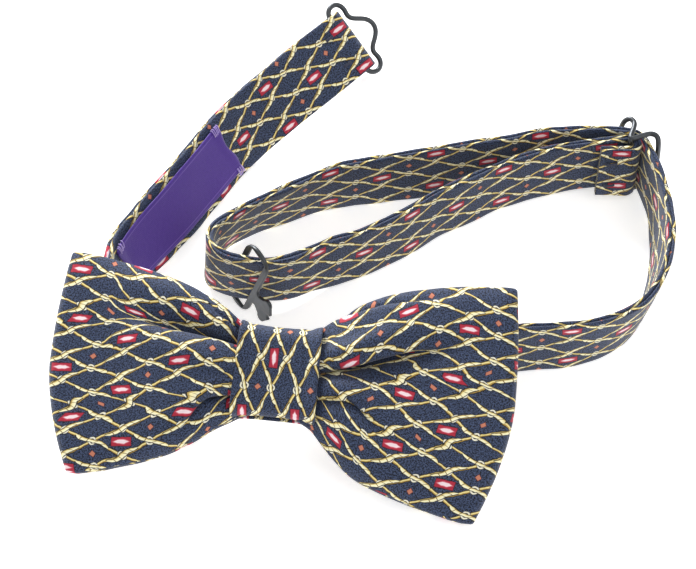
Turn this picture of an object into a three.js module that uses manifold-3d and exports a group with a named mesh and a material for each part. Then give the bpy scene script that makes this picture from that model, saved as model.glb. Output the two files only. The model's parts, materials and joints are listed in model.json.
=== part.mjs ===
// A pre-tied bow tie lying on a table: a folded bow held by a knot wrap, and an adjustable
// neckband with a slider, a hook and an eye ring. Millimetres, X along the bow, Y away from the
// bow's face, Z up. The origin is the middle of the footprint, on the table.
import * as THREE from "three";
import { mergeVertices } from "three/addons/utils/BufferGeometryUtils.js";
import Module from "manifold-3d";

const wasm = await Module();
wasm.setup();

// ---------------------------------------------------------------- driving dimensions

const CLEARANCE = 0.3; // between pieces that touch
const CLOTH = 0.6; // wall of a sewn cloth tube

const BOW_LENGTH = 120;
const BOW_HEIGHT = 58; // at the wing ends
const BOW_LAYER = 2.2; // one flattened tube
const BOW_END_RADIUS = 1.9; // of the fold at each end, at the middle of the tube
const BOW_TILT = 27; // degrees between the bow and the table
const CORNER_SETBACK = 5; // the corners stand this far inside the bulged ends
const WING_DROOP = 2.4; // the wings hang below the knot's middle
const WING_CURVE = 2.1; // how quickly a wing opens beside the knot

const KNOT_LENGTH = 21; // along the bow
const KNOT_WALL = 1.2;
const KNOT_FLARE = 0.7; // the wrap's edges stand this far outside its waist
const KNOT_CORNER = 3.4; // radius of the wrap's rounded corners
const KNOT_INTERLINING = 0.5;
const PINCH_HEIGHT = 16.8; // of the gathered bow inside the knot
const PINCH_THREAD = 0.8;
const PINCH_LENGTH = 5;
const PINCH_OPENING = 1.6; // half the growth of the bow's height between the thread and the wings
const PINCH_FLAT = 3; // the bow keeps its pinched height this far either side of the middle

const BAND_WIDTH = 19;
const BAND_THICK = 2.2; // flattened tube
const FLEX_GAP = 1; // between two lengths of the band, where it bends
const UNDER_BOW = 1; // the upright band's clearance below the bow
const KNOT_EXIT = 0.9; // the band has dropped this much at the first station outside the knot

const WIRE = 1.5; // diameter of the slider's and ring's wire
const FOLD_CLOSING = 8; // degrees by which a folded end closes on the band
const RING_FLAP = 11; // length of cloth turned back at the ring
const SLIDER_FLAP = 8;

const RING_SIDE = 2.8; // of the side loops beyond the band's edges
const RING_REACH = 8; // of the middle arch beyond the folded cloth
const RING_DIP = 2.4; // of the shoulders beyond the folded cloth
const RING_ARCH = 3.6; // half the width of the middle arch, on its straight sides

const SLIDER_SPAN = 12; // between its outer bars
const SLIDER_PLAY = 0.9; // between an outer bar and the band
const SLIDER_HEADROOM = 0.6; // between a rail and the band's edge
const SLIDER_DISH = 1.9; // a rail's dip towards the middle bar, beside it
const SLIDER_CROWN = 0.9; // a rail's rise above each window
const SLIDER_CORNER = 1.3; // of a rail at the outer bars

const HOOK_PLATE = 1;
const HOOK_HEADROOM = 1.6; // of the slot past the band's edges
const HOOK_RIM = 1.8; // beside the slot
const HOOK_END_RIM = 1.4; // past the slot's ends
const HOOK_PLAY = 1; // between the slot's side and the band
const HOOK_SKEW = -18; // degrees from square on the band
const HOOK_TURN = 45; // degrees between the plate and the band
const HOOK_TONGUE = 5.5;
const HOOK_TONGUE_WIDTH = 4.4;
const HOOK_TONGUE_AT = -3; // along the slot, from its middle
const HOOK_BARB = 1.5; // radius of the two barbs
const HOOK_BARB_REACH = 4.6; // of each barb from the tongue's middle
const HOOK_NOTCH = 1; // radius of the notch between the barbs
const HOOK_LIFT = 2.9; // of the band over the table, by the hook's rim

const LABEL_LENGTH = 52;
const LABEL_WIDTH = 15;
const LABEL_THICK = 0.4;
const LABEL_START = 1; // from the bend beside the bow
const THREAD = 0.6;
const STITCH_LENGTH = 3;
const TACK_PITCH = 9; // between the two bar tacks of a folded end
const TACK_SPAN = 3; // length of a tack along the band
const TACK_FROM_BAR = 5;
const SEAM_HEIGHT = -5; // of the wrap's seam, from the middle of its back
const SEAM_INSET = 0.1; // of the seam's thread below the wrap's back

// Places on the table: the slider's middle bar and the directions in which the band reaches and
// leaves its turn there, as angles of the outward normal, and the heading of the sewn strand.
const SLIDER_AT = [86.5, 69.7];
const SLIDER_ARRIVAL = 18;
const SLIDER_DEPARTURE = 86;
const STRAND_HEADING = 15.7;
const RING_LEAN = -53;

// Steps of curved surfaces.
const WIRE_SIDES = 6;
const WIRE_STEPS = 72;
const BAR_SIDES = 12;
const FOLD_STEPS = 9;
const HOOK_ARC_STEPS = 6;
const KNOT_STEPS = 6;
const SLIDER_TURN_STEPS = 4;
const SHORT_STEPS = 3; // between two stations of the short and centre routes
const LONG_STEPS = 2;
const LABEL_STEPS = 3;
const BOW_KNOT_STEPS = 2; // from the bow's middle to the knot's edge
const BOW_WING_STEPS = 9;
const BOW_END_STEPS = 6;
const BOW_HEIGHT_STEPS = 4;

// ---------------------------------------------------------------- derived sizes

const UP = new THREE.Vector3(0, 0, 1);
const radians = THREE.MathUtils.degToRad;
const tilt = radians(BOW_TILT);
const wireRadius = WIRE / 2;
const foldRadius = wireRadius + CLEARANCE + BAND_THICK / 2; // middle of the cloth round a bar
const foldOuter = foldRadius + BAND_THICK / 2;

const layerDepth = BOW_LAYER / 2 + CLEARANCE * 2 / 3; // of each bow layer inside the knot
const pinchDepth = layerDepth + BOW_LAYER / 2 + CLEARANCE;
const pinchOuterDepth = pinchDepth + PINCH_THREAD;
const bandDepth = pinchOuterDepth + CLEARANCE + BAND_THICK / 2; // of the band behind the bow
const wingDepth = BOW_END_RADIUS + BOW_LAYER / 2;

// The bow's middle stands at this height, so that the wings' lower edges touch the table.
const bowHeight = (BOW_HEIGHT / 2 + WING_DROOP) * Math.sin(tilt) + wingDepth * Math.cos(tilt);
const bandInKnot = new THREE.Vector3(
  0,
  bandDepth * Math.sin(tilt),
  bowHeight - bandDepth * Math.cos(tilt),
);

const sliderLift = WIRE + SLIDER_HEADROOM; // of the band over the table, at the slider

// ---------------------------------------------------------------- materials

function finish(color, roughness, metalness) {
  return new THREE.MeshStandardMaterial({ color, roughness, metalness });
}

const PRINTED_CLOTH = [0x3c4a6b, 0.8, 0];
const INTERLINING = [0xe8e4d8, 0.95, 0];
const LABEL_CLOTH = [0x4b288f, 0.7, 0];
const NAVY_THREAD = [0x27304a, 0.7, 0];
const LILAC_THREAD = [0xb9a5dc, 0.7, 0];
const GUNMETAL = [0x54585c, 0.35, 0.9];

// ---------------------------------------------------------------- building bodies

// Joins rows of points into one closed body. A row is a cross-section: its outline, followed in
// a hollow body by the matching inner outline. Hollow bodies are open at both ends.
function loft(rows, count, closed = false) {
  const hollow = rows[0].length > count;
  const size = rows[0].length;
  const index = [];
  const quad = (a, b, c, d) => index.push(a, b, c, a, c, d);
  const last = closed ? rows.length : rows.length - 1;
  for (let i = 0; i < last; i += 1) {
    const here = i * size;
    const next = ((i + 1) % rows.length) * size;
    for (let k = 0; k < count; k += 1) {
      const after = (k + 1) % count;
      quad(here + k, here + after, next + after, next + k);
      if (hollow) quad(here + count + k, next + count + k, next + count + after, here + count + after);
    }
  }
  const end = (rows.length - 1) * size;
  if (!closed && hollow) {
    for (let k = 0; k < count; k += 1) {
      const after = (k + 1) % count;
      quad(after, k, count + k, count + after);
      quad(end + k, end + after, end + count + after, end + count + k);
    }
  }
  if (!closed && !hollow) {
    for (let k = 0; k < count / 2 - 1; k += 1) {
      const far = count - 1 - k;
      quad(k + 1, k, far, far - 1);
      quad(end + k, end + k + 1, end + far - 1, end + far);
    }
  }
  const geometry = new THREE.BufferGeometry().setFromPoints(rows.flat()).setIndex(index);
  return facingOut(geometry);
}

// Turns the faces round when the signed volume says that they point inwards.
function facingOut(geometry) {
  const at = geometry.getAttribute("position");
  const index = Array.from(geometry.index.array);
  const [a, b, c] = [new THREE.Vector3(), new THREE.Vector3(), new THREE.Vector3()];
  let volume = 0;
  for (let i = 0; i < index.length; i += 3) {
    a.fromBufferAttribute(at, index[i]);
    b.fromBufferAttribute(at, index[i + 1]);
    c.fromBufferAttribute(at, index[i + 2]);
    volume += a.dot(b.cross(c));
  }
  if (volume < 0) index.reverse();
  geometry.setIndex(index);
  geometry.computeVertexNormals();
  return geometry;
}

function toSolid(geometry, matrix = new THREE.Matrix4()) {
  const bare = geometry.clone().applyMatrix4(matrix);
  bare.deleteAttribute("normal");
  bare.deleteAttribute("uv");
  const merged = mergeVertices(bare, 1e-4);
  return new wasm.Manifold(
    new wasm.Mesh({
      numProp: 3,
      vertProperties: merged.getAttribute("position").array,
      triVerts: new Uint32Array(merged.index.array),
    }),
  );
}

function fromSolid(solid) {
  const mesh = solid.getMesh();
  const geometry = new THREE.BufferGeometry();
  geometry.setAttribute("position", new THREE.BufferAttribute(mesh.vertProperties, 3));
  geometry.setIndex(new THREE.BufferAttribute(mesh.triVerts, 1));
  geometry.computeVertexNormals();
  return geometry;
}

function piece(name, geometry, look) {
  const mesh = new THREE.Mesh(geometry, finish(...look));
  mesh.name = name;
  return mesh;
}

// ---------------------------------------------------------------- cross-sections

// A rectangle of the given width and thickness, its long sides cut into equal steps.
function flatSection(width, thick, steps = 1) {
  const points = [];
  for (let i = 0; i <= steps; i += 1) points.push([(i / steps - 0.5) * width, -thick / 2]);
  for (let i = steps; i >= 0; i -= 1) points.push([(i / steps - 0.5) * width, thick / 2]);
  return points;
}

function roundSection(radius, sides) {
  return Array.from({ length: sides }, (_, i) => {
    const angle = (2 * Math.PI * (i + 0.5)) / sides;
    return [radius * Math.cos(angle), radius * Math.sin(angle)];
  });
}

// A rectangle with rounded corners between the given limits.
function roundedSection(low, high, halfWidth, radius, cornerSteps = 4) {
  const points = [];
  const corners = [[1, 1, 0], [-1, 1, 1], [-1, -1, 2], [1, -1, 3]];
  for (const [side, depth, turn] of corners) {
    const middle = side * (halfWidth - radius);
    const deep = depth > 0 ? high - radius : low + radius;
    for (let i = 0; i <= cornerSteps; i += 1) {
      const angle = (turn + i / cornerSteps) * (Math.PI / 2);
      points.push([middle + radius * Math.cos(angle), deep + radius * Math.sin(angle)]);
    }
  }
  return points;
}

// ---------------------------------------------------------------- sweeping along a route

// Places a section in a frame: its first number along the frame's width, its second across.
function place(frame, section, offset = 0) {
  return section.map(([along, across]) =>
    frame.origin.clone()
      .addScaledVector(frame.wide, along)
      .addScaledVector(frame.thick, across + offset));
}

function sweep(frames, outer, inner = [], offset = 0, closed = false) {
  const rows = frames.map((frame) => [
    ...place(frame, outer, offset),
    ...place(frame, inner, offset),
  ]);
  return loft(rows, outer.length, closed);
}

// A band route is a list of stations [x, y, lift, lean]: lift is the height of the band's lower
// edge, and lean the angle from upright towards the right of the direction of travel.
function stationHeight(lift, lean) {
  const angle = radians(lean);
  return lift + (BAND_WIDTH / 2) * Math.cos(angle) + (BAND_THICK / 2) * Math.abs(Math.sin(angle));
}

function bandFrame(centre, leans, u) {
  const origin = centre.getPoint(u);
  const tangent = centre.getTangent(u);
  const side = new THREE.Vector3(tangent.y, -tangent.x, 0).normalize();
  const lean = radians(leans.getPoint(u).x);
  const wide = side.multiplyScalar(Math.sin(lean)).addScaledVector(UP, Math.cos(lean));
  wide.addScaledVector(tangent, -wide.dot(tangent)).normalize();
  return { origin, wide, thick: tangent.clone().cross(wide), tangent };
}

function bandFrames(stations, stepsEach) {
  const centre = new THREE.CatmullRomCurve3(
    stations.map(([x, y, lift, lean]) => new THREE.Vector3(x, y, stationHeight(lift, lean))),
  );
  const leans = new THREE.CatmullRomCurve3(
    stations.map(([, , , lean], i) => new THREE.Vector3(lean, i, 0)),
  );
  const steps = (stations.length - 1) * stepsEach;
  return Array.from({ length: steps + 1 }, (_, i) => bandFrame(centre, leans, i / steps));
}

// Turns the band back round a bar beside its last frame. side is +1 when the bar lies on the
// band's thick direction, and -1 when it lies on the other side.
function turnBack(frame, side, flap) {
  const bar = frame.origin.clone().addScaledVector(frame.thick, side * foldRadius);
  const frames = [];
  const sweepAngle = Math.PI + radians(FOLD_CLOSING);
  for (let i = 1; i <= FOLD_STEPS; i += 1) {
    const angle = (i / FOLD_STEPS) * sweepAngle;
    const tangent = frame.tangent.clone().multiplyScalar(Math.cos(angle))
      .addScaledVector(frame.thick, side * Math.sin(angle));
    const thick = tangent.clone().cross(frame.wide);
    const origin = bar.clone().addScaledVector(thick, -side * foldRadius);
    frames.push({ origin, wide: frame.wide, thick, tangent });
  }
  const turned = frames.at(-1);
  const origin = turned.origin.clone().addScaledVector(turned.tangent, flap);
  frames.push({ ...turned, origin });
  return { frames, bar };
}

// ---------------------------------------------------------------- the bow

// Half the bow's height at a distance along it from the knot's middle.
function wingHalfHeight(x) {
  const inKnot = PINCH_HEIGHT / 2;
  const edge = KNOT_LENGTH / 2;
  const atEdge = inKnot + PINCH_OPENING;
  const away = Math.abs(x);
  if (away < edge) {
    const opened = Math.max(0, away - PINCH_FLAT) / (edge - PINCH_FLAT);
    return THREE.MathUtils.lerp(inKnot, atEdge, opened);
  }
  const share = Math.min(1, (away - edge) / (BOW_LENGTH / 2 - CORNER_SETBACK - edge));
  return atEdge + (BOW_HEIGHT / 2 - atEdge) * (1 - (1 - share) ** WING_CURVE);
}

// The loop that the bow's tube follows, as distances along the bow and out of its face: back
// layer, left end, front layer, right end, back layer. Its raw ends meet behind the middle.
function bowRoute() {
  const points = [];
  const end = BOW_LENGTH / 2 - BOW_END_RADIUS - BOW_LAYER / 2;
  const edge = KNOT_LENGTH / 2;
  const along = (from, to, layer, steps) => {
    for (let i = 0; i < steps; i += 1) {
      const x = THREE.MathUtils.lerp(from, to, i / steps);
      const open = THREE.MathUtils.smoothstep(Math.abs(x), edge, KNOT_LENGTH);
      points.push([x, layer * THREE.MathUtils.lerp(layerDepth, BOW_END_RADIUS, open)]);
    }
  };
  const round = (side) => {
    for (let i = 0; i < BOW_END_STEPS; i += 1) {
      const angle = Math.PI * (side / 2 - i / BOW_END_STEPS);
      points.push([side * end + BOW_END_RADIUS * Math.cos(angle), BOW_END_RADIUS * Math.sin(angle)]);
    }
  };
  along(-CLEARANCE, -edge, -1, BOW_KNOT_STEPS);
  along(-edge, -end, -1, BOW_WING_STEPS);
  round(-1);
  along(-end, -edge, 1, BOW_WING_STEPS);
  along(-edge, edge, 1, 2 * BOW_KNOT_STEPS);
  along(edge, end, 1, BOW_WING_STEPS);
  round(1);
  along(end, edge, -1, BOW_WING_STEPS);
  along(edge, CLEARANCE, -1, BOW_KNOT_STEPS);
  points.push([CLEARANCE, -layerDepth]);
  return points;
}

// The wings' ends bulge between their corners, and the wings droop away from the knot.
function shapeWing(x, height) {
  const reach = Math.min(1, Math.abs(x) / (BOW_LENGTH / 2));
  const rise = (2 * height) / BOW_HEIGHT;
  const setback = CORNER_SETBACK * reach ** 3 * rise ** 2;
  return [x - Math.sign(x) * setback, height - WING_DROOP * reach ** 2];
}

// One body of the folded bow, inset by the same amount all round from the flattened tube.
function bowSection(x, normal, depth, inset) {
  const height = 2 * (wingHalfHeight(x) - inset);
  return flatSection(height, BOW_LAYER - 2 * inset, BOW_HEIGHT_STEPS).map(([along, across]) => {
    const [px, py] = shapeWing(x + normal[0] * across, along);
    return new THREE.Vector3(px, py, depth + normal[1] * across);
  });
}

function bowBody(insets) {
  const route = bowRoute();
  const rows = route.map(([x, depth], i) => {
    const before = route[Math.max(0, i - 1)];
    const after = route[Math.min(route.length - 1, i + 1)];
    const along = new THREE.Vector2(after[0] - before[0], after[1] - before[1]).normalize();
    const normal = [-along.y, along.x];
    return insets.flatMap((inset) => bowSection(x, normal, depth, inset));
  });
  return loft(rows, 2 * (BOW_HEIGHT_STEPS + 1));
}

function makeBow() {
  return [
    piece("bow_cloth", bowBody([0, CLOTH]), PRINTED_CLOTH),
    piece("bow_interlining", bowBody([CLOTH + CLEARANCE]), INTERLINING),
  ];
}

// ---------------------------------------------------------------- the knot

// A wrap round the bow. Its inside is given by its limits in depth and half its height, and it
// flares towards its two open ends.
function wrap(length, inside, wall, radius, flare, steps) {
  const rows = Array.from({ length: steps + 1 }, (_, i) => {
    const x = (i / steps - 0.5) * length;
    const spread = flare * ((2 * x) / length) ** 2;
    const low = inside.low - wall;
    const high = inside.high + wall + spread;
    const half = inside.half + wall + spread;
    const section = [
      ...roundedSection(low, high, half, radius),
      ...roundedSection(low + wall, high - wall, half - wall, radius - wall),
    ];
    return section.map(([y, z]) => new THREE.Vector3(x, y, z));
  });
  return loft(rows, rows[0].length / 2);
}

const gathered = {
  low: -pinchDepth,
  high: pinchDepth,
  half: PINCH_HEIGHT / 2 + CLEARANCE,
};
const interliningCorner = KNOT_CORNER - KNOT_WALL - CLEARANCE * 2;
const insideInterlining = {
  low: -bandDepth - BAND_THICK / 2 - CLEARANCE,
  high: pinchOuterDepth + CLEARANCE,
  // The band's square edges stop short of the hollow's rounded corners.
  half:
    Math.max(
      BAND_WIDTH / 2 + interliningCorner - KNOT_INTERLINING,
      wingHalfHeight(KNOT_LENGTH / 2),
    ) + CLEARANCE,
};
const knotStep = KNOT_INTERLINING + CLEARANCE;
const insideWrap = {
  low: insideInterlining.low - knotStep,
  high: insideInterlining.high + knotStep,
  half: insideInterlining.half + knotStep,
};
const knotBack = insideWrap.low - KNOT_WALL;

// The seam's thread lies in a groove in the wrap's back, so that the back stays flat.
function makeSeam() {
  const length = KNOT_LENGTH - 2 * STITCH_LENGTH;
  const middle = knotBack + SEAM_INSET + THREAD / 2;
  const thread = new THREE.BoxGeometry(length, THREAD, THREAD);
  thread.translate(0, SEAM_HEIGHT, middle);
  const room = THREAD + 2 * CLEARANCE;
  const groove = new THREE.BoxGeometry(length + 2 * CLEARANCE, room, room);
  groove.translate(0, SEAM_HEIGHT, middle);
  return { thread, groove };
}

function makeKnot() {
  const pinch = wrap(PINCH_LENGTH, gathered, PINCH_THREAD, PINCH_THREAD * 1.5, 0, 1);
  const seam = makeSeam();
  const cloth = toSolid(wrap(KNOT_LENGTH, insideWrap, KNOT_WALL, KNOT_CORNER, KNOT_FLARE, KNOT_STEPS));
  return [
    piece("pinch_thread", pinch, NAVY_THREAD),
    piece(
      "knot_interlining",
      wrap(KNOT_LENGTH - 2 * CLEARANCE, insideInterlining, KNOT_INTERLINING, interliningCorner, 0, 1),
      INTERLINING,
    ),
    piece("knot_wrap", fromSolid(cloth.subtract(toSolid(seam.groove))), PRINTED_CLOTH),
    piece("knot_seam_thread", seam.thread, NAVY_THREAD),
  ];
}

// ---------------------------------------------------------------- the neckband's routes

// The band stands upright on its edge where the bow's underside clears it. Distances away from
// the bow are counted from there, so that the band keeps clear of the bow when a size changes.
const uprightFrom =
  (BAND_WIDTH + UNDER_BOW - bowHeight + wingDepth / Math.cos(tilt)) / Math.tan(tilt);
const KNOT_LEAN = BOW_TILT - 90;
const knotLift = bandInKnot.z - stationHeight(0, KNOT_LEAN);
const ringLift = 2 * foldRadius * Math.sin(radians(-RING_LEAN)) + CLEARANCE;

const behind = ([x, y, lift, lean]) => [x, y + uprightFrom, lift, lean];

const CENTRE_ROUTE = [
  ...[[-47.4, 20, 0, 14], [-48, 11.4, 0, 4], [-42.5, 2, 0.3, -25]].map(behind),
  [-31, 7.5, 3, -50],
  [-20, 4, knotLift + KNOT_EXIT, KNOT_LEAN],
  [-KNOT_LENGTH / 2 - KNOT_WALL, bandInKnot.y, knotLift, KNOT_LEAN],
  [0, bandInKnot.y, knotLift, KNOT_LEAN],
  [KNOT_LENGTH / 2 + KNOT_WALL, bandInKnot.y, knotLift, KNOT_LEAN],
  [20, 4, knotLift + KNOT_EXIT, KNOT_LEAN],
  [31, 8, 3, -50],
  ...[[42, 1.4, 0.3, -25], [52, 4, 0, -3], [60, 6.2, 0, 0]].map(behind),
];

const SHORT_ROUTE = [
  [-47.4, 20 + FLEX_GAP, 0, -14],
  [-47, 23.9, 0, -18],
  [-45.2, 28.3, 0, -23],
  [-40.3, 37.8, 0, -30],
  [-34.7, 48.6, 0, -33],
  [-29.6, 59.3, 0, -34],
  [-24.3, 70, 0, -36],
  [-18.3, 79.9, 0.3, -40],
  [-11.3, 89.4, 1, -45],
  [-2.5, 100.5, 2.3, -50],
  [6.2, 110.5, ringLift, RING_LEAN],
].map(behind);

const sliderBar = new THREE.Vector3(SLIDER_AT[0], SLIDER_AT[1] + uprightFrom, 0);
const runningRadius = foldOuter + CLEARANCE + BAND_THICK / 2; // of the band round the fold

// The band's turn outside the fold at the slider's middle bar.
function sliderTurn() {
  return Array.from({ length: SLIDER_TURN_STEPS + 1 }, (_, i) => {
    const share = i / SLIDER_TURN_STEPS;
    const angle = radians(THREE.MathUtils.lerp(SLIDER_ARRIVAL, SLIDER_DEPARTURE, share));
    return [
      sliderBar.x + runningRadius * Math.cos(angle),
      sliderBar.y + runningRadius * Math.sin(angle),
      sliderLift,
      0,
    ];
  });
}

const hookStation = behind([-13, 20.6, HOOK_LIFT, 5]);
const strandEnd = radians(STRAND_HEADING);
const LONG_ROUTE = [
  ...[
    [60 + FLEX_GAP, 6.4, 0, 0],
    [68.5, 7.8, 0, 1],
    [76, 9.5, 0, 3],
    [83, 12.8, 0, 6],
    [89.8, 18.6, 0, 10],
    [94, 26.9, 0, 12],
    [95.9, 34.6, 0, 12],
    [96.6, 43, 0, 10],
    [96.2, 51.4, 0.4, 7],
    [94.6, 59.6, 1.2, 3],
    [92.6, 66, 1.9, 1],
  ].map(behind),
  ...sliderTurn(),
  ...[
    [78.5, 74.9, 1.5, 0],
    [70, 74.6, 0.7, 0],
    [62, 73.2, 0.2, 0],
    [54.6, 71, 0, 0],
    [46, 68.4, 0, 0],
    [37.5, 65.9, 0, 0],
    [28, 63, 0, 0],
    [18, 60, 0, -2],
    [8.4, 56.7, 0, -4],
    [0.8, 53.2, 0, -8],
    [-6.8, 48.9, 0, -11],
    [-14.2, 43.6, 0.2, -13],
    [-20.4, 37.6, 0.7, -13],
    [-24, 31.4, 1.6, -8],
    [-23.4, 25.2, 2.5, -2],
    [-18.8, 21.6, HOOK_LIFT, 4],
  ].map(behind),
  hookStation,
  ...[
    [-7, 20.8, HOOK_LIFT, 5],
    [-1.5, 22.8, 2.4, 4],
    [4.5, 26.4, 1.5, 2],
    [10, 30.2, 0.7, 0],
    [17.4, 34.9, 0.1, 0],
    [23.8, 39.4, 0, 0],
    [30.2, 44.6, 0, 0],
    [36, 49.4, 0, 0],
    [41.9, 54.2, 0, 0],
    [47.5, 58.2, 0, 0],
    [56.2, 63.2, 0, 0],
    [64.5, 66.8, 0.4, 0],
    [72.5, 69, 1.2, 0],
    [79.7, 70.3, sliderLift, 0],
  ].map(behind),
  [
    sliderBar.x - foldRadius * Math.sin(strandEnd),
    sliderBar.y + foldRadius * Math.cos(strandEnd),
    sliderLift,
    0,
  ],
];

// ---------------------------------------------------------------- cloth, tacks and label

const bandOuter = flatSection(BAND_WIDTH, BAND_THICK);
const bandInner = flatSection(BAND_WIDTH - 2 * CLOTH, BAND_THICK - 2 * CLOTH);
const bandFilling = flatSection(
  BAND_WIDTH - 2 * (CLOTH + CLEARANCE),
  BAND_THICK - 2 * (CLOTH + CLEARANCE),
);

function box(frame, size, shift) {
  const basis = new THREE.Matrix4().makeBasis(frame.tangent, frame.wide, frame.thick);
  basis.setPosition(frame.origin);
  const geometry = new THREE.BoxGeometry(...size).translate(...shift);
  return toSolid(geometry, basis);
}

// A bar tack through a folded end: a loop of thread with two legs through both layers. The
// layers lie between two depths across the band.
function barTack(frame, across, low, high) {
  const middle = (low + high) / 2;
  const depth = high - low + 2 * CLEARANCE;
  const outer = box(frame, [TACK_SPAN + THREAD, THREAD, depth + 2 * THREAD], [0, across, middle]);
  const inner = box(frame, [TACK_SPAN - THREAD, 2 * THREAD, depth], [0, across, middle]);
  const hole = THREAD + 2 * CLEARANCE;
  const legs = [-1, 1].map((end) =>
    box(frame, [hole, hole, depth], [(end * TACK_SPAN) / 2, across, middle]));
  return { loop: outer.subtract(inner), hole: legs[0].add(legs[1]) };
}

// A length of band that ends folded round a bar and is tacked there in two places.
function foldedBand(name, frames, side, flap) {
  const turn = turnBack(frames.at(-1), side, flap);
  let cloth = toSolid(sweep([...frames, ...turn.frames], bandOuter, bandInner));
  const foot = frames.at(-1);
  const at = { ...foot, origin: foot.origin.clone().addScaledVector(foot.tangent, -TACK_FROM_BAR) };
  const near = (-side * BAND_THICK) / 2;
  const far = side * (2 * foldRadius + BAND_THICK / 2);
  const tacks = [-1, 1].map((end, i) => {
    const tack = barTack(at, (end * TACK_PITCH) / 2, Math.min(near, far), Math.max(near, far));
    cloth = cloth.subtract(tack.hole);
    return piece(`${name}_tack_${i + 1}`, fromSolid(tack.loop), NAVY_THREAD);
  });
  return { cloth: fromSolid(cloth), tacks, bar: { ...foot, origin: turn.bar } };
}

// The distance along a route to each of its frames.
function runOf(frames) {
  const run = [0];
  for (let i = 1; i < frames.length; i += 1) {
    run.push(run[i - 1] + frames[i].origin.distanceTo(frames[i - 1].origin));
  }
  return run;
}

function stretch(frames, from, to) {
  const run = runOf(frames);
  return frames.filter((frame, i) => run[i] >= from && run[i] <= to);
}

function makeLabel(frames) {
  const face = BAND_THICK / 2 + CLEARANCE + LABEL_THICK / 2;
  const part = stretch(frames, LABEL_START, LABEL_START + LABEL_LENGTH);
  const label = sweep(part, flatSection(LABEL_WIDTH, LABEL_THICK, LABEL_STEPS), [], face);
  const meshes = [piece("label", label, LABEL_CLOTH)];
  const above = face + LABEL_THICK / 2 + CLEARANCE + THREAD;
  const corners = [[part[1], -1], [part[1], 1], [part.at(-2), -1], [part.at(-2), 1]];
  corners.forEach(([frame, end], i) => {
    const across = end * (LABEL_WIDTH / 2 - THREAD);
    const stitch = box(frame, [STITCH_LENGTH, THREAD, THREAD], [0, across, above]);
    meshes.push(piece(`label_stitch_${i + 1}`, fromSolid(stitch), LILAC_THREAD));
  });
  return meshes;
}

// ---------------------------------------------------------------- metal fittings

function wireLoop(points) {
  const curve = new THREE.CatmullRomCurve3(points, true);
  const turning = curve.computeFrenetFrames(WIRE_STEPS, true);
  const frames = Array.from({ length: WIRE_STEPS }, (_, i) => ({
    origin: curve.getPointAt(i / WIRE_STEPS),
    wide: turning.normals[i],
    thick: turning.binormals[i],
  }));
  return sweep(frames, roundSection(wireRadius, WIRE_SIDES), [], 0, true);
}

// Half of the ring's outline, from the middle of its bar to the top of its arch: distances
// along the bar and away from the band.
function ringHalf() {
  const shoulder = foldOuter + RING_DIP;
  const radius = shoulder / 2;
  const side = BAND_WIDTH / 2 + RING_SIDE - wireRadius - radius;
  const top = foldOuter + RING_REACH - wireRadius;
  const points = [[side / 2, 0]];
  for (let i = 0; i <= 4; i += 1) {
    const angle = (i / 4 - 0.5) * Math.PI;
    points.push([side + radius * Math.cos(angle), radius + radius * Math.sin(angle)]);
  }
  points.push(
    [RING_ARCH + 2.6, shoulder - WIRE / 3],
    [RING_ARCH + 0.9, shoulder + WIRE * 2 / 3],
    [RING_ARCH, top - RING_ARCH * 2 / 3],
    [RING_ARCH / 2, top - WIRE / 3],
  );
  return { points, top };
}

function makeRing(bar) {
  const { points, top } = ringHalf();
  const mirrored = points.map(([along, away]) => [-along, away]).reverse();
  const outline = [[0, 0], ...points, [0, top], ...mirrored];
  const placed = outline.map(([along, away]) =>
    bar.origin.clone().addScaledVector(bar.wide, along).addScaledVector(bar.tangent, away));
  return piece("eye_ring", wireLoop(placed), GUNMETAL);
}

// The slider is a bent figure of eight. Its middle bar lies in the band's fold, and its outer
// bars keep the running band against that fold.
function makeSlider() {
  const turn = radians((SLIDER_DEPARTURE - SLIDER_ARRIVAL) / 2);
  const middle = radians((SLIDER_DEPARTURE + SLIDER_ARRIVAL) / 2);
  const out = new THREE.Vector3(Math.cos(middle), Math.sin(middle), 0);
  const along = new THREE.Vector3(Math.sin(middle), -Math.cos(middle), 0);
  const half = SLIDER_SPAN / 2;
  const clear = runningRadius + BAND_THICK / 2 + SLIDER_PLAY + wireRadius;
  const depth = clear / Math.cos(turn) - half * Math.tan(turn);
  const low = wireRadius;
  const high = sliderLift + BAND_WIDTH + SLIDER_HEADROOM + wireRadius;
  const at = (u, v, z) =>
    sliderBar.clone().addScaledVector(along, u).addScaledVector(out, v).addScaledVector(UP, z);
  const window = half / 2;
  const rail = [
    [-half + SLIDER_CORNER, depth + SLIDER_CROWN],
    [-window, depth + SLIDER_CROWN * 2 / 3],
    [-WIRE, depth - SLIDER_DISH],
    [0, 0],
    [WIRE, depth - SLIDER_DISH],
    [window, depth + SLIDER_CROWN * 2 / 3],
    [half - SLIDER_CORNER, depth + SLIDER_CROWN],
  ];
  const points = [
    ...rail.map(([u, v]) => at(u, v, high)),
    at(half, depth, high - WIRE),
    at(half, depth, low + WIRE),
    ...rail.toReversed().map(([u, v]) => at(u, v, low)),
    at(-half, depth, low + WIRE),
    at(-half, depth, high - WIRE),
  ];
  const bar = new THREE.CylinderGeometry(wireRadius, wireRadius, high - low, BAR_SIDES);
  bar.rotateX(Math.PI / 2).translate(sliderBar.x, sliderBar.y, (low + high) / 2);
  const joined = toSolid(wireLoop(points)).add(toSolid(bar));
  // Where the rails bend tightly at the bar, the wire's turns can close round a void.
  const filled = joined.decompose().filter((body) => body.volume() > 0);
  return piece("slider", fromSolid(wasm.Manifold.compose(filled)), GUNMETAL);
}

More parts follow.
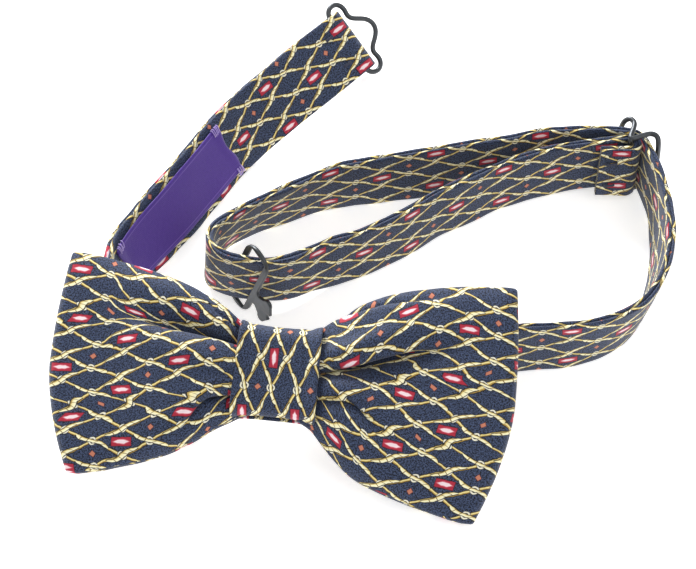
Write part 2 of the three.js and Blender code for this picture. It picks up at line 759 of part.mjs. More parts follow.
// The hook is a flat plate with a slot for the band and a notched tongue. p runs across the
// slot and q along it.
function hookShape() {
  const turn = radians(HOOK_TURN);
  const slotSide = (BAND_THICK / 2 + (HOOK_PLATE / 2) * Math.cos(turn)) / Math.sin(turn) + HOOK_PLAY;
  const slotEnd = BAND_WIDTH / 2 / Math.cos(radians(HOOK_SKEW)) + HOOK_HEADROOM;
  const side = slotSide + HOOK_RIM;
  const end = slotEnd + HOOK_END_RIM;
  const corner = side - HOOK_PLATE / 2;
  const tip = -side - HOOK_TONGUE;
  const neck = HOOK_TONGUE_WIDTH / 2;
  const barb = HOOK_BARB_REACH - HOOK_BARB;
  const shape = new THREE.Shape();
  shape.moveTo(side, corner - end);
  shape.lineTo(side, end - corner);
  shape.absarc(side - corner, end - corner, corner, 0, Math.PI / 2, false);
  shape.absarc(corner - side, end - corner, corner, Math.PI / 2, Math.PI, false);
  shape.lineTo(-side, HOOK_TONGUE_AT + neck);
  shape.lineTo(tip + HOOK_BARB, HOOK_TONGUE_AT + neck);
  shape.absarc(tip, HOOK_TONGUE_AT + barb, HOOK_BARB, 0, Math.PI, false);
  shape.absarc(tip - HOOK_BARB, HOOK_TONGUE_AT, HOOK_NOTCH, Math.PI / 2, -Math.PI / 2, true);
  shape.absarc(tip, HOOK_TONGUE_AT - barb, HOOK_BARB, Math.PI, 2 * Math.PI, false);
  shape.lineTo(tip + HOOK_BARB, HOOK_TONGUE_AT - neck);
  shape.lineTo(-side, HOOK_TONGUE_AT - neck);
  shape.absarc(corner - side, corner - end, corner, Math.PI, 1.5 * Math.PI, false);
  shape.absarc(side - corner, corner - end, corner, 1.5 * Math.PI, 2 * Math.PI, false);
  const slot = new THREE.Path();
  slot.moveTo(-slotSide, -slotEnd);
  slot.lineTo(-slotSide, slotEnd);
  slot.lineTo(slotSide, slotEnd);
  slot.lineTo(slotSide, -slotEnd);
  shape.holes.push(slot);
  return shape;
}

function makeHook(seat) {
  const geometry = new THREE.ExtrudeGeometry(hookShape(), {
    depth: HOOK_PLATE,
    bevelEnabled: false,
    curveSegments: HOOK_ARC_STEPS,
  });
  geometry.translate(0, 0, -HOOK_PLATE / 2);
  const across = seat.thick.clone().negate();
  const along = seat.tangent;
  const turn = radians(HOOK_TURN);
  const skew = radians(HOOK_SKEW);
  const q = seat.wide.clone().multiplyScalar(Math.cos(skew)).addScaledVector(along, -Math.sin(skew));
  const level = q.clone().cross(across);
  const p = level.multiplyScalar(Math.cos(turn)).addScaledVector(across, Math.sin(turn));
  const basis = new THREE.Matrix4().makeBasis(p, q, p.clone().cross(q));
  basis.setPosition(seat.origin);
  return piece("hook", geometry.applyMatrix4(basis), GUNMETAL);
}

// ---------------------------------------------------------------- the neckband

function makeBand() {
  const centre = bandFrames(CENTRE_ROUTE, SHORT_STEPS);
  const short = bandFrames(SHORT_ROUTE, SHORT_STEPS);
  const long = bandFrames(LONG_ROUTE, LONG_STEPS);
  const ringEnd = foldedBand("ring", short, -1, RING_FLAP);
  const sliderEnd = foldedBand("slider", long, 1, SLIDER_FLAP);
  const clearOfTacks = TACK_FROM_BAR + TACK_SPAN;
  const filled = (frames) => stretch(frames, 0, runOf(frames).at(-1) - clearOfTacks);
  const seat = long[LONG_STEPS * LONG_ROUTE.indexOf(hookStation)];
  return [
    piece("neckband_centre_cloth", sweep(centre, bandOuter, bandInner), PRINTED_CLOTH),
    piece("neckband_centre_interlining", sweep(centre, bandFilling), INTERLINING),
    piece("neckband_short_cloth", ringEnd.cloth, PRINTED_CLOTH),
    piece("neckband_short_interlining", sweep(filled(short), bandFilling), INTERLINING),
    piece("neckband_long_cloth", sliderEnd.cloth, PRINTED_CLOTH),
    piece("neckband_long_interlining", sweep(filled(long), bandFilling), INTERLINING),
    ...ringEnd.tacks,
    ...sliderEnd.tacks,
    ...makeLabel(short),
    makeRing(ringEnd.bar),
    makeSlider(),
    makeHook(seat),
  ];
}

// ---------------------------------------------------------------- assembly

const bow = new THREE.Group();
bow.position.z = bowHeight;
bow.rotation.x = tilt;
bow.add(...makeBow(), ...makeKnot());

const assembly = new THREE.Group();
assembly.add(bow, ...makeBand());
assembly.updateMatrixWorld(true);

const extent = new THREE.Box3().setFromObject(assembly, true);
const middle = extent.getCenter(new THREE.Vector3());
assembly.position.set(-middle.x, -middle.y, -extent.min.z);

export default assembly;
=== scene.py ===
"""The looks of a pre-tied bow tie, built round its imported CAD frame.

Lengths in this script are millimetres until a mesh is made. Places are in the bow's own frame,
whose origin is under the middle of the bow on the table, and SHIFT carries them to the row frame.
"""

import json
import math

import bpy
import numpy as np
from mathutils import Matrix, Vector


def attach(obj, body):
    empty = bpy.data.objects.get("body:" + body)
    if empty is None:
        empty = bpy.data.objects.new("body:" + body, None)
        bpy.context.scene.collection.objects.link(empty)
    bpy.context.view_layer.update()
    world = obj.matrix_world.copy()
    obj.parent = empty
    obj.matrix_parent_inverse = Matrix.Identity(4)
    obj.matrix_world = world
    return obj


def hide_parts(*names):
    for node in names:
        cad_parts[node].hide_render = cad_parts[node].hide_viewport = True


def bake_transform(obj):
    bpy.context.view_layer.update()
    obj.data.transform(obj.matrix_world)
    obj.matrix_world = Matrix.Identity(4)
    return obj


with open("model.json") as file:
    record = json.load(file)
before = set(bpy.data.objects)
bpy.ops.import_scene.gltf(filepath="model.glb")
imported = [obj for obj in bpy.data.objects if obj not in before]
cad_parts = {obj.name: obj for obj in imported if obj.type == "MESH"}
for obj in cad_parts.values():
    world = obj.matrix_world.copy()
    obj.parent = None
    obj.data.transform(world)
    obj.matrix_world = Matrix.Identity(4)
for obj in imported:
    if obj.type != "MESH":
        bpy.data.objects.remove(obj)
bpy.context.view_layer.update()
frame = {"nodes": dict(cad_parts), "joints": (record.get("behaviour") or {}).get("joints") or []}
JOINTS = {joint["name"]: joint for joint in frame["joints"]}
MM = 0.001

# ---------------------------------------------------------------- sizes, as in the CAD source

CLEARANCE = 0.3
BOW_LENGTH = 120
BOW_HEIGHT = 58
BOW_TILT = math.radians(27)
WING_DROOP = 2.4
WING_DEPTH = 3.0
KNOT_LENGTH = 21
KNOT_BACK = -8.3
KNOT_FRONT = 5.8
KNOT_HALF = 12.3
BAND_WIDTH = 19
BAND_THICK = 2.2
BAND_DEPTH = 4.9
WIRE_RADIUS = 0.75
FOLD_RADIUS = 2.15
FOLD_OUTER = 3.25
RUNNING_RADIUS = 4.65
FOLD_CLOSING = math.radians(8)
RING_FLAP = 11
SLIDER_FLAP = 8
RING_WIDTH = 24.6
RING_REACH = 8
RING_DIP = 2.4
RING_ARCH = 3.6
RING_LEAN = -53
SLIDER_SPAN = 12
SLIDER_LIFT = 2.1
SLIDER_SPARE = 0.9  # between the band that runs round the bar and the wire outside it
SLIDER_OVER = 0.6  # between the band's edge and the upper wire
SLIDER_CORNER = 1.5
SLIDER_BAR_SHARE = 0.92  # of the wire's radius
SLIDER_AT = (86.5, 69.7)
SLIDER_TURN = (18, 86)
STRAND_HEADING = math.radians(15.7)
HOOK_LIFT = 2.9
HOOK_PLATE = 1.0
HOOK_TURN = math.radians(45)
HOOK_SKEW = math.radians(-18)
HOOK_SLOT_SPARE = (1, 1.6)  # beside the band's faces, and beyond its edges
HOOK_SLOT_CORNER = 0.6
HOOK_RIM = (1.8, 1.4)  # beside the slot, and beyond its ends
HOOK_TONGUE = 5.5
HOOK_TONGUE_AT = -3
HOOK_NECK = 2.2  # half of the tongue's width
HOOK_FILLET = 1.2
HOOK_LOBE = 1.5
HOOK_LOBE_BACK = 1.0  # from the tongue's end to the lobes' middles
HOOK_LOBE_OUT = 3.1
HOOK_NOTCH = 1.0
HOOK_BEVEL = 0.28
LABEL_LENGTH = 52
LABEL_WIDTH = 15
LABEL_START = 1
TACK_PITCH = 9
TACK_FROM_BAR = 5
TACK_SPAN = 3
TACK_SUNK = 0.35

BOW_RISE = (BOW_HEIGHT / 2 + WING_DROOP) * math.sin(BOW_TILT) + WING_DEPTH * math.cos(BOW_TILT)
UPRIGHT = (BAND_WIDTH + 1 - BOW_RISE + WING_DEPTH / math.cos(BOW_TILT)) / math.tan(BOW_TILT)
SHIFT = np.array(JOINTS["short_strap_bend"]["pos_m"]) / MM - [-47.4, 20.5 + UPRIGHT, BAND_WIDTH / 2]

# ---------------------------------------------------------------- meshes


def make_mesh(name, points, quads, uv=None):
    """A smooth mesh object. Points are millimetres in the bow's frame; uv holds each face's corners."""
    mesh = bpy.data.meshes.new(name)
    placed = (np.asarray(points, float) + SHIFT) * MM
    mesh.from_pydata(placed.tolist(), [], quads)
    mesh.polygons.foreach_set("use_smooth", [True] * len(mesh.polygons))
    if uv is not None:
        layer = mesh.uv_layers.new(name="cloth")
        layer.data.foreach_set("uv", np.asarray(uv, float).ravel())
    mesh.update()
    obj = bpy.data.objects.new(name, mesh)
    bpy.context.scene.collection.objects.link(obj)
    return obj


def outward(obj):
    """Turns every face outwards."""
    mesh = obj.data
    mesh.calc_loop_triangles()
    co = np.array([v.co for v in mesh.vertices])
    corners = co[np.array([t.vertices for t in mesh.loop_triangles])]
    if np.sum(corners[:, 0] * np.cross(corners[:, 1], corners[:, 2])) < 0:
        mesh.flip_normals()
    return obj


def tube_quads(rows, count, closed=False):
    """Quads of a tube: rows of count points each, and a cap at each end unless it is closed."""
    quads = []
    for i in range(rows if closed else rows - 1):
        here, there = i * count, ((i + 1) % rows) * count
        for k in range(count):
            after = (k + 1) % count
            quads.append((here + k, here + after, there + after, there + k))
    if not closed:
        half = count // 2
        for k in range(half - 1):
            far = count - 1 - k
            quads.append((k + 1, k, far, far - 1))
            end = (rows - 1) * count
            quads.append((end + k, end + k + 1, end + far - 1, end + far))
    return quads


def make_tube(name, rows, closed=False, uv=None):
    """A tube through rows of points. uv has a pair for each point, and one more column where the
    tube's outline closes, and one more row where the tube itself is closed."""
    rows = np.asarray(rows, float)
    length, count = rows.shape[:2]
    quads = tube_quads(length, count, closed)
    corners = None
    if uv is not None:
        corners = []
        for i in range(length if closed else length - 1):
            for k in range(count):
                corners += [uv[i, k], uv[i, k + 1], uv[i + 1, k + 1], uv[i + 1, k]]
        for quad in quads[len(corners) // 4 :]:
            corners += [uv[q // count, q % count] for q in quad]
    return outward(make_mesh(name, rows.reshape(-1, 3), quads, corners))


def join_parts(name, parts):
    """One object from several (points, quads)."""
    points, quads, start = [], [], 0
    for part_points, part_quads in parts:
        points.append(np.asarray(part_points, float).reshape(-1, 3))
        quads += [tuple(start + k for k in q) for q in part_quads]
        start += len(points[-1])
    obj = make_mesh(name, np.concatenate(points), quads)
    bpy.context.view_layer.objects.active = obj
    obj.select_set(True)
    bpy.ops.object.mode_set(mode="EDIT")
    bpy.ops.mesh.select_all(action="SELECT")
    bpy.ops.mesh.normals_make_consistent(inside=False)
    bpy.ops.object.mode_set(mode="OBJECT")
    obj.select_set(False)
    return obj


# ---------------------------------------------------------------- curves and frames


def unit(vectors):
    return vectors / np.linalg.norm(vectors, axis=-1, keepdims=True)


def smoothstep(x, low, high):
    share = np.clip((np.asarray(x, float) - low) / (high - low), 0, 1)
    return share * share * (3 - 2 * share)


def spline(points, per=12, closed=False):
    """A centripetal Catmull-Rom curve through the points. Columns after the third go along."""
    p = np.asarray(points, float)
    if closed:
        p = np.vstack([p[-1], p, p[0], p[1]])
    else:
        p = np.vstack([2 * p[0] - p[1], p, 2 * p[-1] - p[-2]])
    made = []
    for i in range(1, len(p) - 2):
        span = [max(1e-4, np.linalg.norm(p[k + 1, :3] - p[k, :3]) ** 0.5) for k in (i - 1, i, i + 1)]
        start = (p[i] - p[i - 1]) / span[0] - (p[i + 1] - p[i - 1]) / (span[0] + span[1])
        start = (start + (p[i + 1] - p[i]) / span[1]) * span[1]
        end = (p[i + 1] - p[i]) / span[1] - (p[i + 2] - p[i]) / (span[1] + span[2])
        end = (end + (p[i + 2] - p[i + 1]) / span[2]) * span[1]
        for t in np.arange(per) / per:
            made.append(
                (2 * t**3 - 3 * t**2 + 1) * p[i]
                + (t**3 - 2 * t**2 + t) * start
                + (3 * t**2 - 2 * t**3) * p[i + 1]
                + (t**3 - t**2) * end
            )
    if not closed:
        made.append(p[-2])
    return np.array(made)


def run_along(points):
    steps = np.linalg.norm(np.diff(points[:, :3], axis=0), axis=1)
    return np.concatenate([[0], np.cumsum(steps)])


def resample(points, step):
    run = run_along(points)
    at = np.linspace(0, run[-1], max(2, round(run[-1] / step)) + 1)
    return np.stack([np.interp(at, run, column) for column in points.T], axis=1)


def relax(points, passes, closed=False):
    """Evens out the curvature. The ends stay."""
    made = points.copy()
    for _ in range(passes):
        if closed:
            made = (np.roll(made, 1, 0) + 2 * made + np.roll(made, -1, 0)) / 4
        else:
            made[1:-1] = (made[:-2] + 2 * made[1:-1] + made[2:]) / 4
    return made


def wire_rows(points, radius, sides=14, closed=False):
    """Rings of points round a curve, without twist. The radius is a number or one for each point."""
    points = np.asarray(points, float)
    if closed:
        tangent = unit(np.roll(points, -1, 0) - np.roll(points, 1, 0))
    else:
        tangent = unit(np.gradient(points, axis=0))
    normal = np.cross(tangent[0], [0.31, 0.17, 0.93])
    normals = []
    for t in tangent:
        normal = normal - t * np.dot(normal, t)
        normal = normal / np.linalg.norm(normal)
        normals.append(normal)
    normals = np.array(normals)
    if closed:
        binormal = np.cross(tangent[0], normals[0])
        last = normals[-1] - tangent[0] * np.dot(normals[-1], tangent[0])
        slip = math.atan2(np.dot(last, binormal), np.dot(last, normals[0]))
        turn = -slip * np.arange(len(points)) / len(points)
        across = np.cross(tangent, normals)
        normals = normals * np.cos(turn)[:, None] + across * np.sin(turn)[:, None]
    across = np.cross(tangent, normals)
    angle = 2 * math.pi * np.arange(sides) / sides
    size = np.broadcast_to(np.asarray(radius, float), (len(points),))[:, None, None]
    ring = normals[:, None] * np.cos(angle)[None, :, None] + across[:, None] * np.sin(angle)[None, :, None]
    return points[:, None] + ring * size


# ---------------------------------------------------------------- the neckband's routes


def behind(stations):
    return [(x, y + UPRIGHT, lift, lean) for x, y, lift, lean in stations]


def station_height(lift, lean):
    angle = math.radians(lean)
    return lift + BAND_WIDTH / 2 * math.cos(angle) + BAND_THICK / 2 * abs(math.sin(angle))


KNOT_LEAN = math.degrees(BOW_TILT) - 90
BAND_IN_KNOT = np.array([0, BAND_DEPTH * math.sin(BOW_TILT), BOW_RISE - BAND_DEPTH * math.cos(BOW_TILT)])
KNOT_LIFT = BAND_IN_KNOT[2] - station_height(0, KNOT_LEAN)
RING_LIFT = 2 * FOLD_RADIUS * math.sin(math.radians(-RING_LEAN)) + CLEARANCE
KNOT_SIDE = KNOT_LENGTH / 2 + 1.2

CENTRE_LEFT = behind([(-47.4, 20, 0, 14), (-48, 11.4, 0, 4), (-42.5, 2, 0.3, -25)]) + [
    (-31, 7.5, 3, -50),
    (-20, 4, KNOT_LIFT + 0.9, KNOT_LEAN),
    (-KNOT_SIDE, BAND_IN_KNOT[1], KNOT_LIFT, KNOT_LEAN),
    (0, BAND_IN_KNOT[1], KNOT_LIFT, KNOT_LEAN),
]
CENTRE_RIGHT = [
    (0, BAND_IN_KNOT[1], KNOT_LIFT, KNOT_LEAN),
    (KNOT_SIDE, BAND_IN_KNOT[1], KNOT_LIFT, KNOT_LEAN),
    (20, 4, KNOT_LIFT + 0.9, KNOT_LEAN),
    (31, 8, 3, -50),
] + behind([(42, 1.4, 0.3, -25), (52, 4, 0, -3), (60, 6.2, 0, 0)])
SHORT = behind(
    [
        (-47.4, 21, 0, -14),
        (-47, 23.9, 0, -18),
        (-45.2, 28.3, 0, -23),
        (-40.3, 37.8, 0, -30),
        (-34.7, 48.6, 0, -33),
        (-29.6, 59.3, 0, -34),
        (-24.3, 70, 0, -36),
        (-18.3, 79.9, 0.3, -40),
        (-11.3, 89.4, 1, -45),
        (-2.5, 100.5, 2.3, -50),
        (6.2, 110.5, RING_LIFT, RING_LEAN),
    ]
)
SLIDER_BAR = np.array([SLIDER_AT[0], SLIDER_AT[1] + UPRIGHT, 0])
HOOK_STATION = (-13, 20.6, HOOK_LIFT, 5)
LONG_OUT = behind(
    [
        (61, 6.4, 0, 0),
        (68.5, 7.8, 0, 1),
        (76, 9.5, 0, 3),
        (83, 12.8, 0, 6),
        (89.8, 18.6, 0, 10),
        (94, 26.9, 0, 12),
        (95.9, 34.6, 0, 12),
        (96.6, 43, 0, 10),
        (96.2, 51.4, 0.4, 7),
        (94.6, 59.6, 1.2, 3),
        (92.6, 66, 1.9, 1),
    ]
)
LONG_BACK = behind(
    [
        (78.5, 74.9, 1.5, 0),
        (70, 74.6, 0.7, 0),
        (62, 73.2, 0.2, 0),
        (54.6, 71, 0, 0),
        (46, 68.4, 0, 0),
        (37.5, 65.9, 0, 0),
        (28, 63, 0, 0),
        (18, 60, 0, -2),
        (8.4, 56.7, 0, -4),
        (0.8, 53.2, 0, -8),
        (-6.8, 48.9, 0, -11),
        (-14.2, 43.6, 0.2, -13),
        (-20.4, 37.6, 0.7, -13),
        (-24, 31.4, 1.6, -8),
        (-23.4, 25.2, 2.5, -2),
        (-18.8, 21.6, HOOK_LIFT, 4),
        HOOK_STATION,
        (-7, 20.8, HOOK_LIFT, 5),
        (-1.5, 22.8, 2.4, 4),
        (4.5, 26.4, 1.5, 2),
        (10, 30.2, 0.7, 0),
        (17.4, 34.9, 0.1, 0),
        (23.8, 39.4, 0, 0),
        (30.2, 44.6, 0, 0),
        (36, 49.4, 0, 0),
        (41.9, 54.2, 0, 0),
        (47.5, 58.2, 0, 0),
        (56.2, 63.2, 0, 0),
        (64.5, 66.8, 0.4, 0),
        (72.5, 69, 1.2, 0),
        (79.7, 70.3, SLIDER_LIFT, 0),
    ]
)


def slider_turn():
    angles = [math.radians(a) for a in np.linspace(*SLIDER_TURN, 5)]
    return [
        (
            SLIDER_BAR[0] + RUNNING_RADIUS * math.cos(a),
            SLIDER_BAR[1] + RUNNING_RADIUS * math.sin(a),
            SLIDER_LIFT,
            0,
        )
        for a in angles
    ]


SLIDER_END = (
    SLIDER_BAR[0] - FOLD_RADIUS * math.sin(STRAND_HEADING),
    SLIDER_BAR[1] + FOLD_RADIUS * math.cos(STRAND_HEADING),
    SLIDER_LIFT,
    0,
)


def reverse(stations):
    return [(x, y, lift, -lean) for x, y, lift, lean in stations[::-1]]


LEFT_ROUTE = reverse(CENTRE_LEFT) + SHORT
RIGHT_ROUTE = CENTRE_RIGHT + LONG_OUT + slider_turn() + LONG_BACK + [SLIDER_END]


class Strip:
    """A band's frames: rows of middles, tangents, widths and thicknesses, and the run to each."""

    def __init__(self, middle, wide, tangent):
        self.middle, self.wide, self.tangent = middle, wide, tangent
        self.thick = np.cross(tangent, wide)
        self.run = run_along(middle)

    @classmethod
    def along(cls, stations, step, passes):
        points = [(x, y, station_height(lift, lean), lean) for x, y, lift, lean in stations]
        line = relax(resample(spline(points), step), passes)
        line = resample(line, step)
        tangent = unit(np.gradient(line[:, :3], axis=0))
        lean = np.radians(line[:, 3])[:, None]
        side = unit(np.stack([tangent[:, 1], -tangent[:, 0], np.zeros(len(line))], 1))
        wide = side * np.sin(lean) + np.array([0, 0, 1]) * np.cos(lean)
        wide = unit(wide - tangent * np.sum(wide * tangent, 1, keepdims=True))
        return cls(line[:, :3], wide, tangent)

    def turned_back(self, side, flap, step):
        """The same band with its end turned back round a bar and laid along itself."""
        end, wide, thick = self.middle[-1], self.wide[-1], self.thick[-1]
        bar = end + thick * side * FOLD_RADIUS
        sweep = math.pi + FOLD_CLOSING
        angles = np.linspace(0, sweep, round(sweep * FOLD_RADIUS / (step * 0.7)))[1:, None]
        tangent = self.tangent[-1] * np.cos(angles) + thick * side * np.sin(angles)
        out = np.cross(tangent, wide)
        middle = bar - out * side * FOLD_RADIUS
        rest = np.linspace(0, flap, round(flap / step))[1:, None]
        middle = np.vstack([self.middle, middle, middle[-1] + tangent[-1] * rest])
        tangent = np.vstack([self.tangent, tangent, np.repeat(tangent[-1:], len(rest), 0)])
        widths = np.vstack([self.wide, np.repeat(wide[None], len(middle) - len(self.wide), 0)])
        return Strip(middle, widths, tangent), bar

    def part(self, start, end):
        keep = (self.run >= start) & (self.run <= end)
        return Strip(self.middle[keep], self.wide[keep], self.tangent[keep])

    def nearest(self, point):
        return int(np.argmin(np.linalg.norm(self.middle - point, axis=1)))


# ---------------------------------------------------------------- random cloth movement

rng = np.random.default_rng(338)


def ripple(x, size, count=7, shortest=9.0, longest=60.0):
    """A soft random wave along x, at most about size high."""
    lengths = rng.uniform(shortest, longest, count)
    phases = rng.uniform(0, 2 * math.pi, count)
    waves = [np.sin(2 * math.pi * x / length + phase) for length, phase in zip(lengths, phases)]
    return size * np.sum(waves, axis=0) / math.sqrt(count)


# ---------------------------------------------------------------- neckband cloth


FACE_HOLLOW = 0.1
EDGE_ANGLES = np.radians([60, 25, -10, -45])
TACK_PULL = 0.6  # share of the thickness that a tack draws in
TACK_PULL_SIZE = (1.9, 1.3)  # along the band, and across it


def band_section():
    """A sewn tube pressed flat: two layers that meet in a groove along both edges."""
    half, lip = BAND_WIDTH / 2, BAND_THICK / 4
    groove = half - 2 * lip
    face = [(x, 2 * lip - FACE_HOLLOW * (x / half) ** 2) for x in np.linspace(-groove, groove, 15)]
    edge = [(half - lip + lip * math.cos(a), lip + lip * math.sin(a)) for a in EDGE_ANGLES]
    top = [(-x, y) for x, y in edge[::-1]] + face + edge
    bottom = [(x, -y) for x, y in top[::-1]]
    return np.array([(-groove, 0)] + top + [(groove, 0)] + bottom)


def make_band(name, strip, tacks, start):
    """The band's cloth along a strip. Tacks are pairs of run and distance across, where the cloth
    is pulled in, and start is the place of the first row on the printed cloth."""
    section = band_section()
    loop = np.vstack([section, section[:1]])
    around = run_along(np.column_stack([loop, loop[:, 0] * 0]))
    run = strip.run[:, None]
    width = 1 + ripple(run, 0.012, shortest=14)
    thickness = 1 + ripple(run, 0.10, shortest=8, longest=30)
    shear = ripple(run, 0.22, shortest=12)
    across = section[None, :, 0] * width
    depth = section[None, :, 1] * thickness + shear * (section[None, :, 0] / BAND_WIDTH * 2) ** 2
    pull_along, pull_across = TACK_PULL_SIZE
    for at, where in tacks:
        near = np.exp(-(((run - at) / pull_along) ** 2) - ((section[None, :, 0] - where) / pull_across) ** 2)
        depth = depth * (1 - TACK_PULL * near)
    rows = (
        strip.middle[:, None]
        + strip.wide[:, None] * across[:, :, None]
        + strip.thick[:, None] * depth[:, :, None]
    )
    uv = np.empty((len(rows), len(loop), 2))
    uv[:, :, 0] = run + start[0]
    uv[:, :, 1] = around[None] + start[1]
    return make_tube(name, rows, uv=uv)


BAND_STEP = 0.8
left_strip = Strip.along(LEFT_ROUTE, BAND_STEP, 6)
left_folded, ring_bar = left_strip.turned_back(-1, RING_FLAP, BAND_STEP)
right_strip = Strip.along(RIGHT_ROUTE, BAND_STEP, 3)
right_folded, _ = right_strip.turned_back(1, SLIDER_FLAP, BAND_STEP)
short_start = left_strip.run[left_strip.nearest(np.array([-47.4, 21 + UPRIGHT, BAND_WIDTH / 2]))]


def tack_places(strip):
    run = strip.run[-1] - TACK_FROM_BAR
    return [(run, end * TACK_PITCH / 2) for end in (-1, 1)]


band_left = make_band("neckband_left", left_folded, tack_places(left_strip), (2.0, 3.4))
band_right = make_band("neckband_right", right_folded, tack_places(right_strip), (6.0, 1.2))

# ---------------------------------------------------------------- the bow


LOOKUP_END = 64
LOOKUP_STEP = 0.5
LOOKUP_REACH = 8  # steps on each side that a value is blurred over
LOOKUP_BLUR = 3.2


def lookup(x, table):
    """A smooth curve near (x, value) pairs, by distance from the knot."""
    at = np.arange(0, LOOKUP_END, LOOKUP_STEP)
    xs, values = np.array(table, float).T
    line = np.interp(at, xs, values)
    padded = np.pad(line, LOOKUP_REACH, mode="edge")
    weights = np.exp(-(np.arange(-LOOKUP_REACH, LOOKUP_REACH + 1) / LOOKUP_BLUR) ** 2)
    line = np.convolve(padded, weights / weights.sum(), mode="valid")
    return np.interp(x, at, line)


def fold(line, **shape):
    """A fold along (distance from the knot, height) pairs: the distance at which it fades, its depth
    and width, how far one side laps over the other, and which side does: +1 for the upper one."""
    return {"line": line, **shape}


# Each wing has its upper and lower outline as (distance from the knot, height), and its folds.
LEFT_WING = {
    "top": [
        (0, 8.5), (9, 9.6), (12.6, 11.8), (17.6, 15.4), (21.6, 17.3), (25, 18.8), (31, 20.8),
        (39, 22.6), (50, 24.6), (60, 25.4),
    ],
    "bottom": [
        (0, -8.5), (9, -11.0), (11.6, -12.8), (15.5, -14.8), (20.7, -18.8), (27, -22.4),
        (36, -25.6), (47, -28.3), (60, -30.2),
    ],
    "folds": [
        fold(
            [(8, 2.6), (18, 4.6), (24, 6.0), (32, 7.6), (40, 8.6)],
            fade=46, depth=6.2, width=3.8, lap=2.4, side=-1,
        ),
        fold(
            [(8, -4.4), (12, -5.2), (18, -7.4), (21, -10.6), (24, -16.4)],
            fade=28, depth=4.2, width=2.8, lap=2.1, side=1,
        ),
        fold(
            [(8, 8.6), (12, 10.4), (22, 16.2), (27, 17.4), (34, 19.8)],
            fade=33, depth=1.1, width=1.8, lap=0.9, side=1,
        ),
    ],
}
RIGHT_WING = {
    "top": [
        (0, 8.5), (9, 11.2), (13.4, 14.4), (17.7, 18.0), (21.2, 19.9), (25, 21.6), (31, 23.4),
        (39, 25.0), (47, 26.1), (60, 27.0),
    ],
    "bottom": [
        (0, -8.5), (9, -12.8), (13.8, -18.2), (19.5, -23.2), (24, -25.4), (31, -27.6), (39, -29.6),
        (52, -31.8), (60, -32.6),
    ],
    "folds": [
        fold(
            [(8, 2.6), (18, 4.8), (26, 7.5), (33, 9.6), (42, 11.4)],
            fade=50, depth=6.0, width=3.5, lap=2.4, side=1,
        ),
        fold(
            [(8, -4.2), (17, -4.6), (20, -5.8), (26, -12.0), (30, -17.0)],
            fade=30, depth=3.2, width=2.6, lap=1.9, side=1,
        ),
        fold(
            [(8, 9.5), (12, 13.2), (24, 18.2), (28, 19.4), (41, 22.3), (50, 24.4)],
            fade=50, depth=1.3, width=1.8, lap=1.2, side=-1,
        ),
        fold(
            [(20, 3.4), (25, 3.2), (32, 2.2), (40, 0.6)],
            fade=36, depth=0.9, width=2.2, lap=0.2, side=1,
        ),
    ],
}
FRONT_RISE = [
    (0, 1.4), (6, 1.8), (9, 3.4), (13, 5.4), (18, 6.3), (25, 5.8), (35, 4.4), (45, 3.3), (54, 2.6),
    (60, 2.2),
]
BACK_RISE = [(0, 1.4), (9, 1.7), (20, 2.2), (60, 2.2)]
CORNER_BACK = {"upper": (2.3, 2.0), "lower": (8.4, 1.7)}
BOW_ROLL = math.radians(-1.43)
BOW_THICK = 1.7
BOW_MARGIN = 0.6
BOW_END = BOW_LENGTH / 2 - BOW_MARGIN - BOW_THICK / 2
BOW_COLUMNS = 132
BOW_END_RADIUS = 2.2
BOW_SEAM_HALF = 0.4  # half of the gap between the strip's ends, behind the knot
BOW_STEPS = {"back": 1.15, "front": 0.75}


def bow_route():
    """The folded tube's loop as (distance along the bow, front share, depth) from behind the knot,
    round the left end, over the front and round the right end to behind the knot again."""
    radius = BOW_END_RADIUS
    end = BOW_END - radius
    back = np.arange(BOW_SEAM_HALF, end, BOW_STEPS["back"])
    front = np.arange(-end + BOW_SEAM_HALF, end, BOW_STEPS["front"])
    turn = np.linspace(0, math.pi, 13)
    stations = [(-x, 0.0, 0.0, 0.0) for x in back]
    stations += [(-end, (1 - math.cos(a)) / 2, radius * math.sin(a), radius) for a in turn]
    stations += [(x, 1.0, 0.0, 0.0) for x in front]
    stations += [(end, (1 + math.cos(a)) / 2, radius * math.sin(a), radius) for a in turn]
    stations += [(x, 0.0, 0.0, 0.0) for x in back[::-1]]
    return np.array(stations)


def setback(rise, corner):
    """How far a wing's end stands back towards one of its corners."""
    depth, power = CORNER_BACK[corner]
    return depth * np.abs(rise) ** power


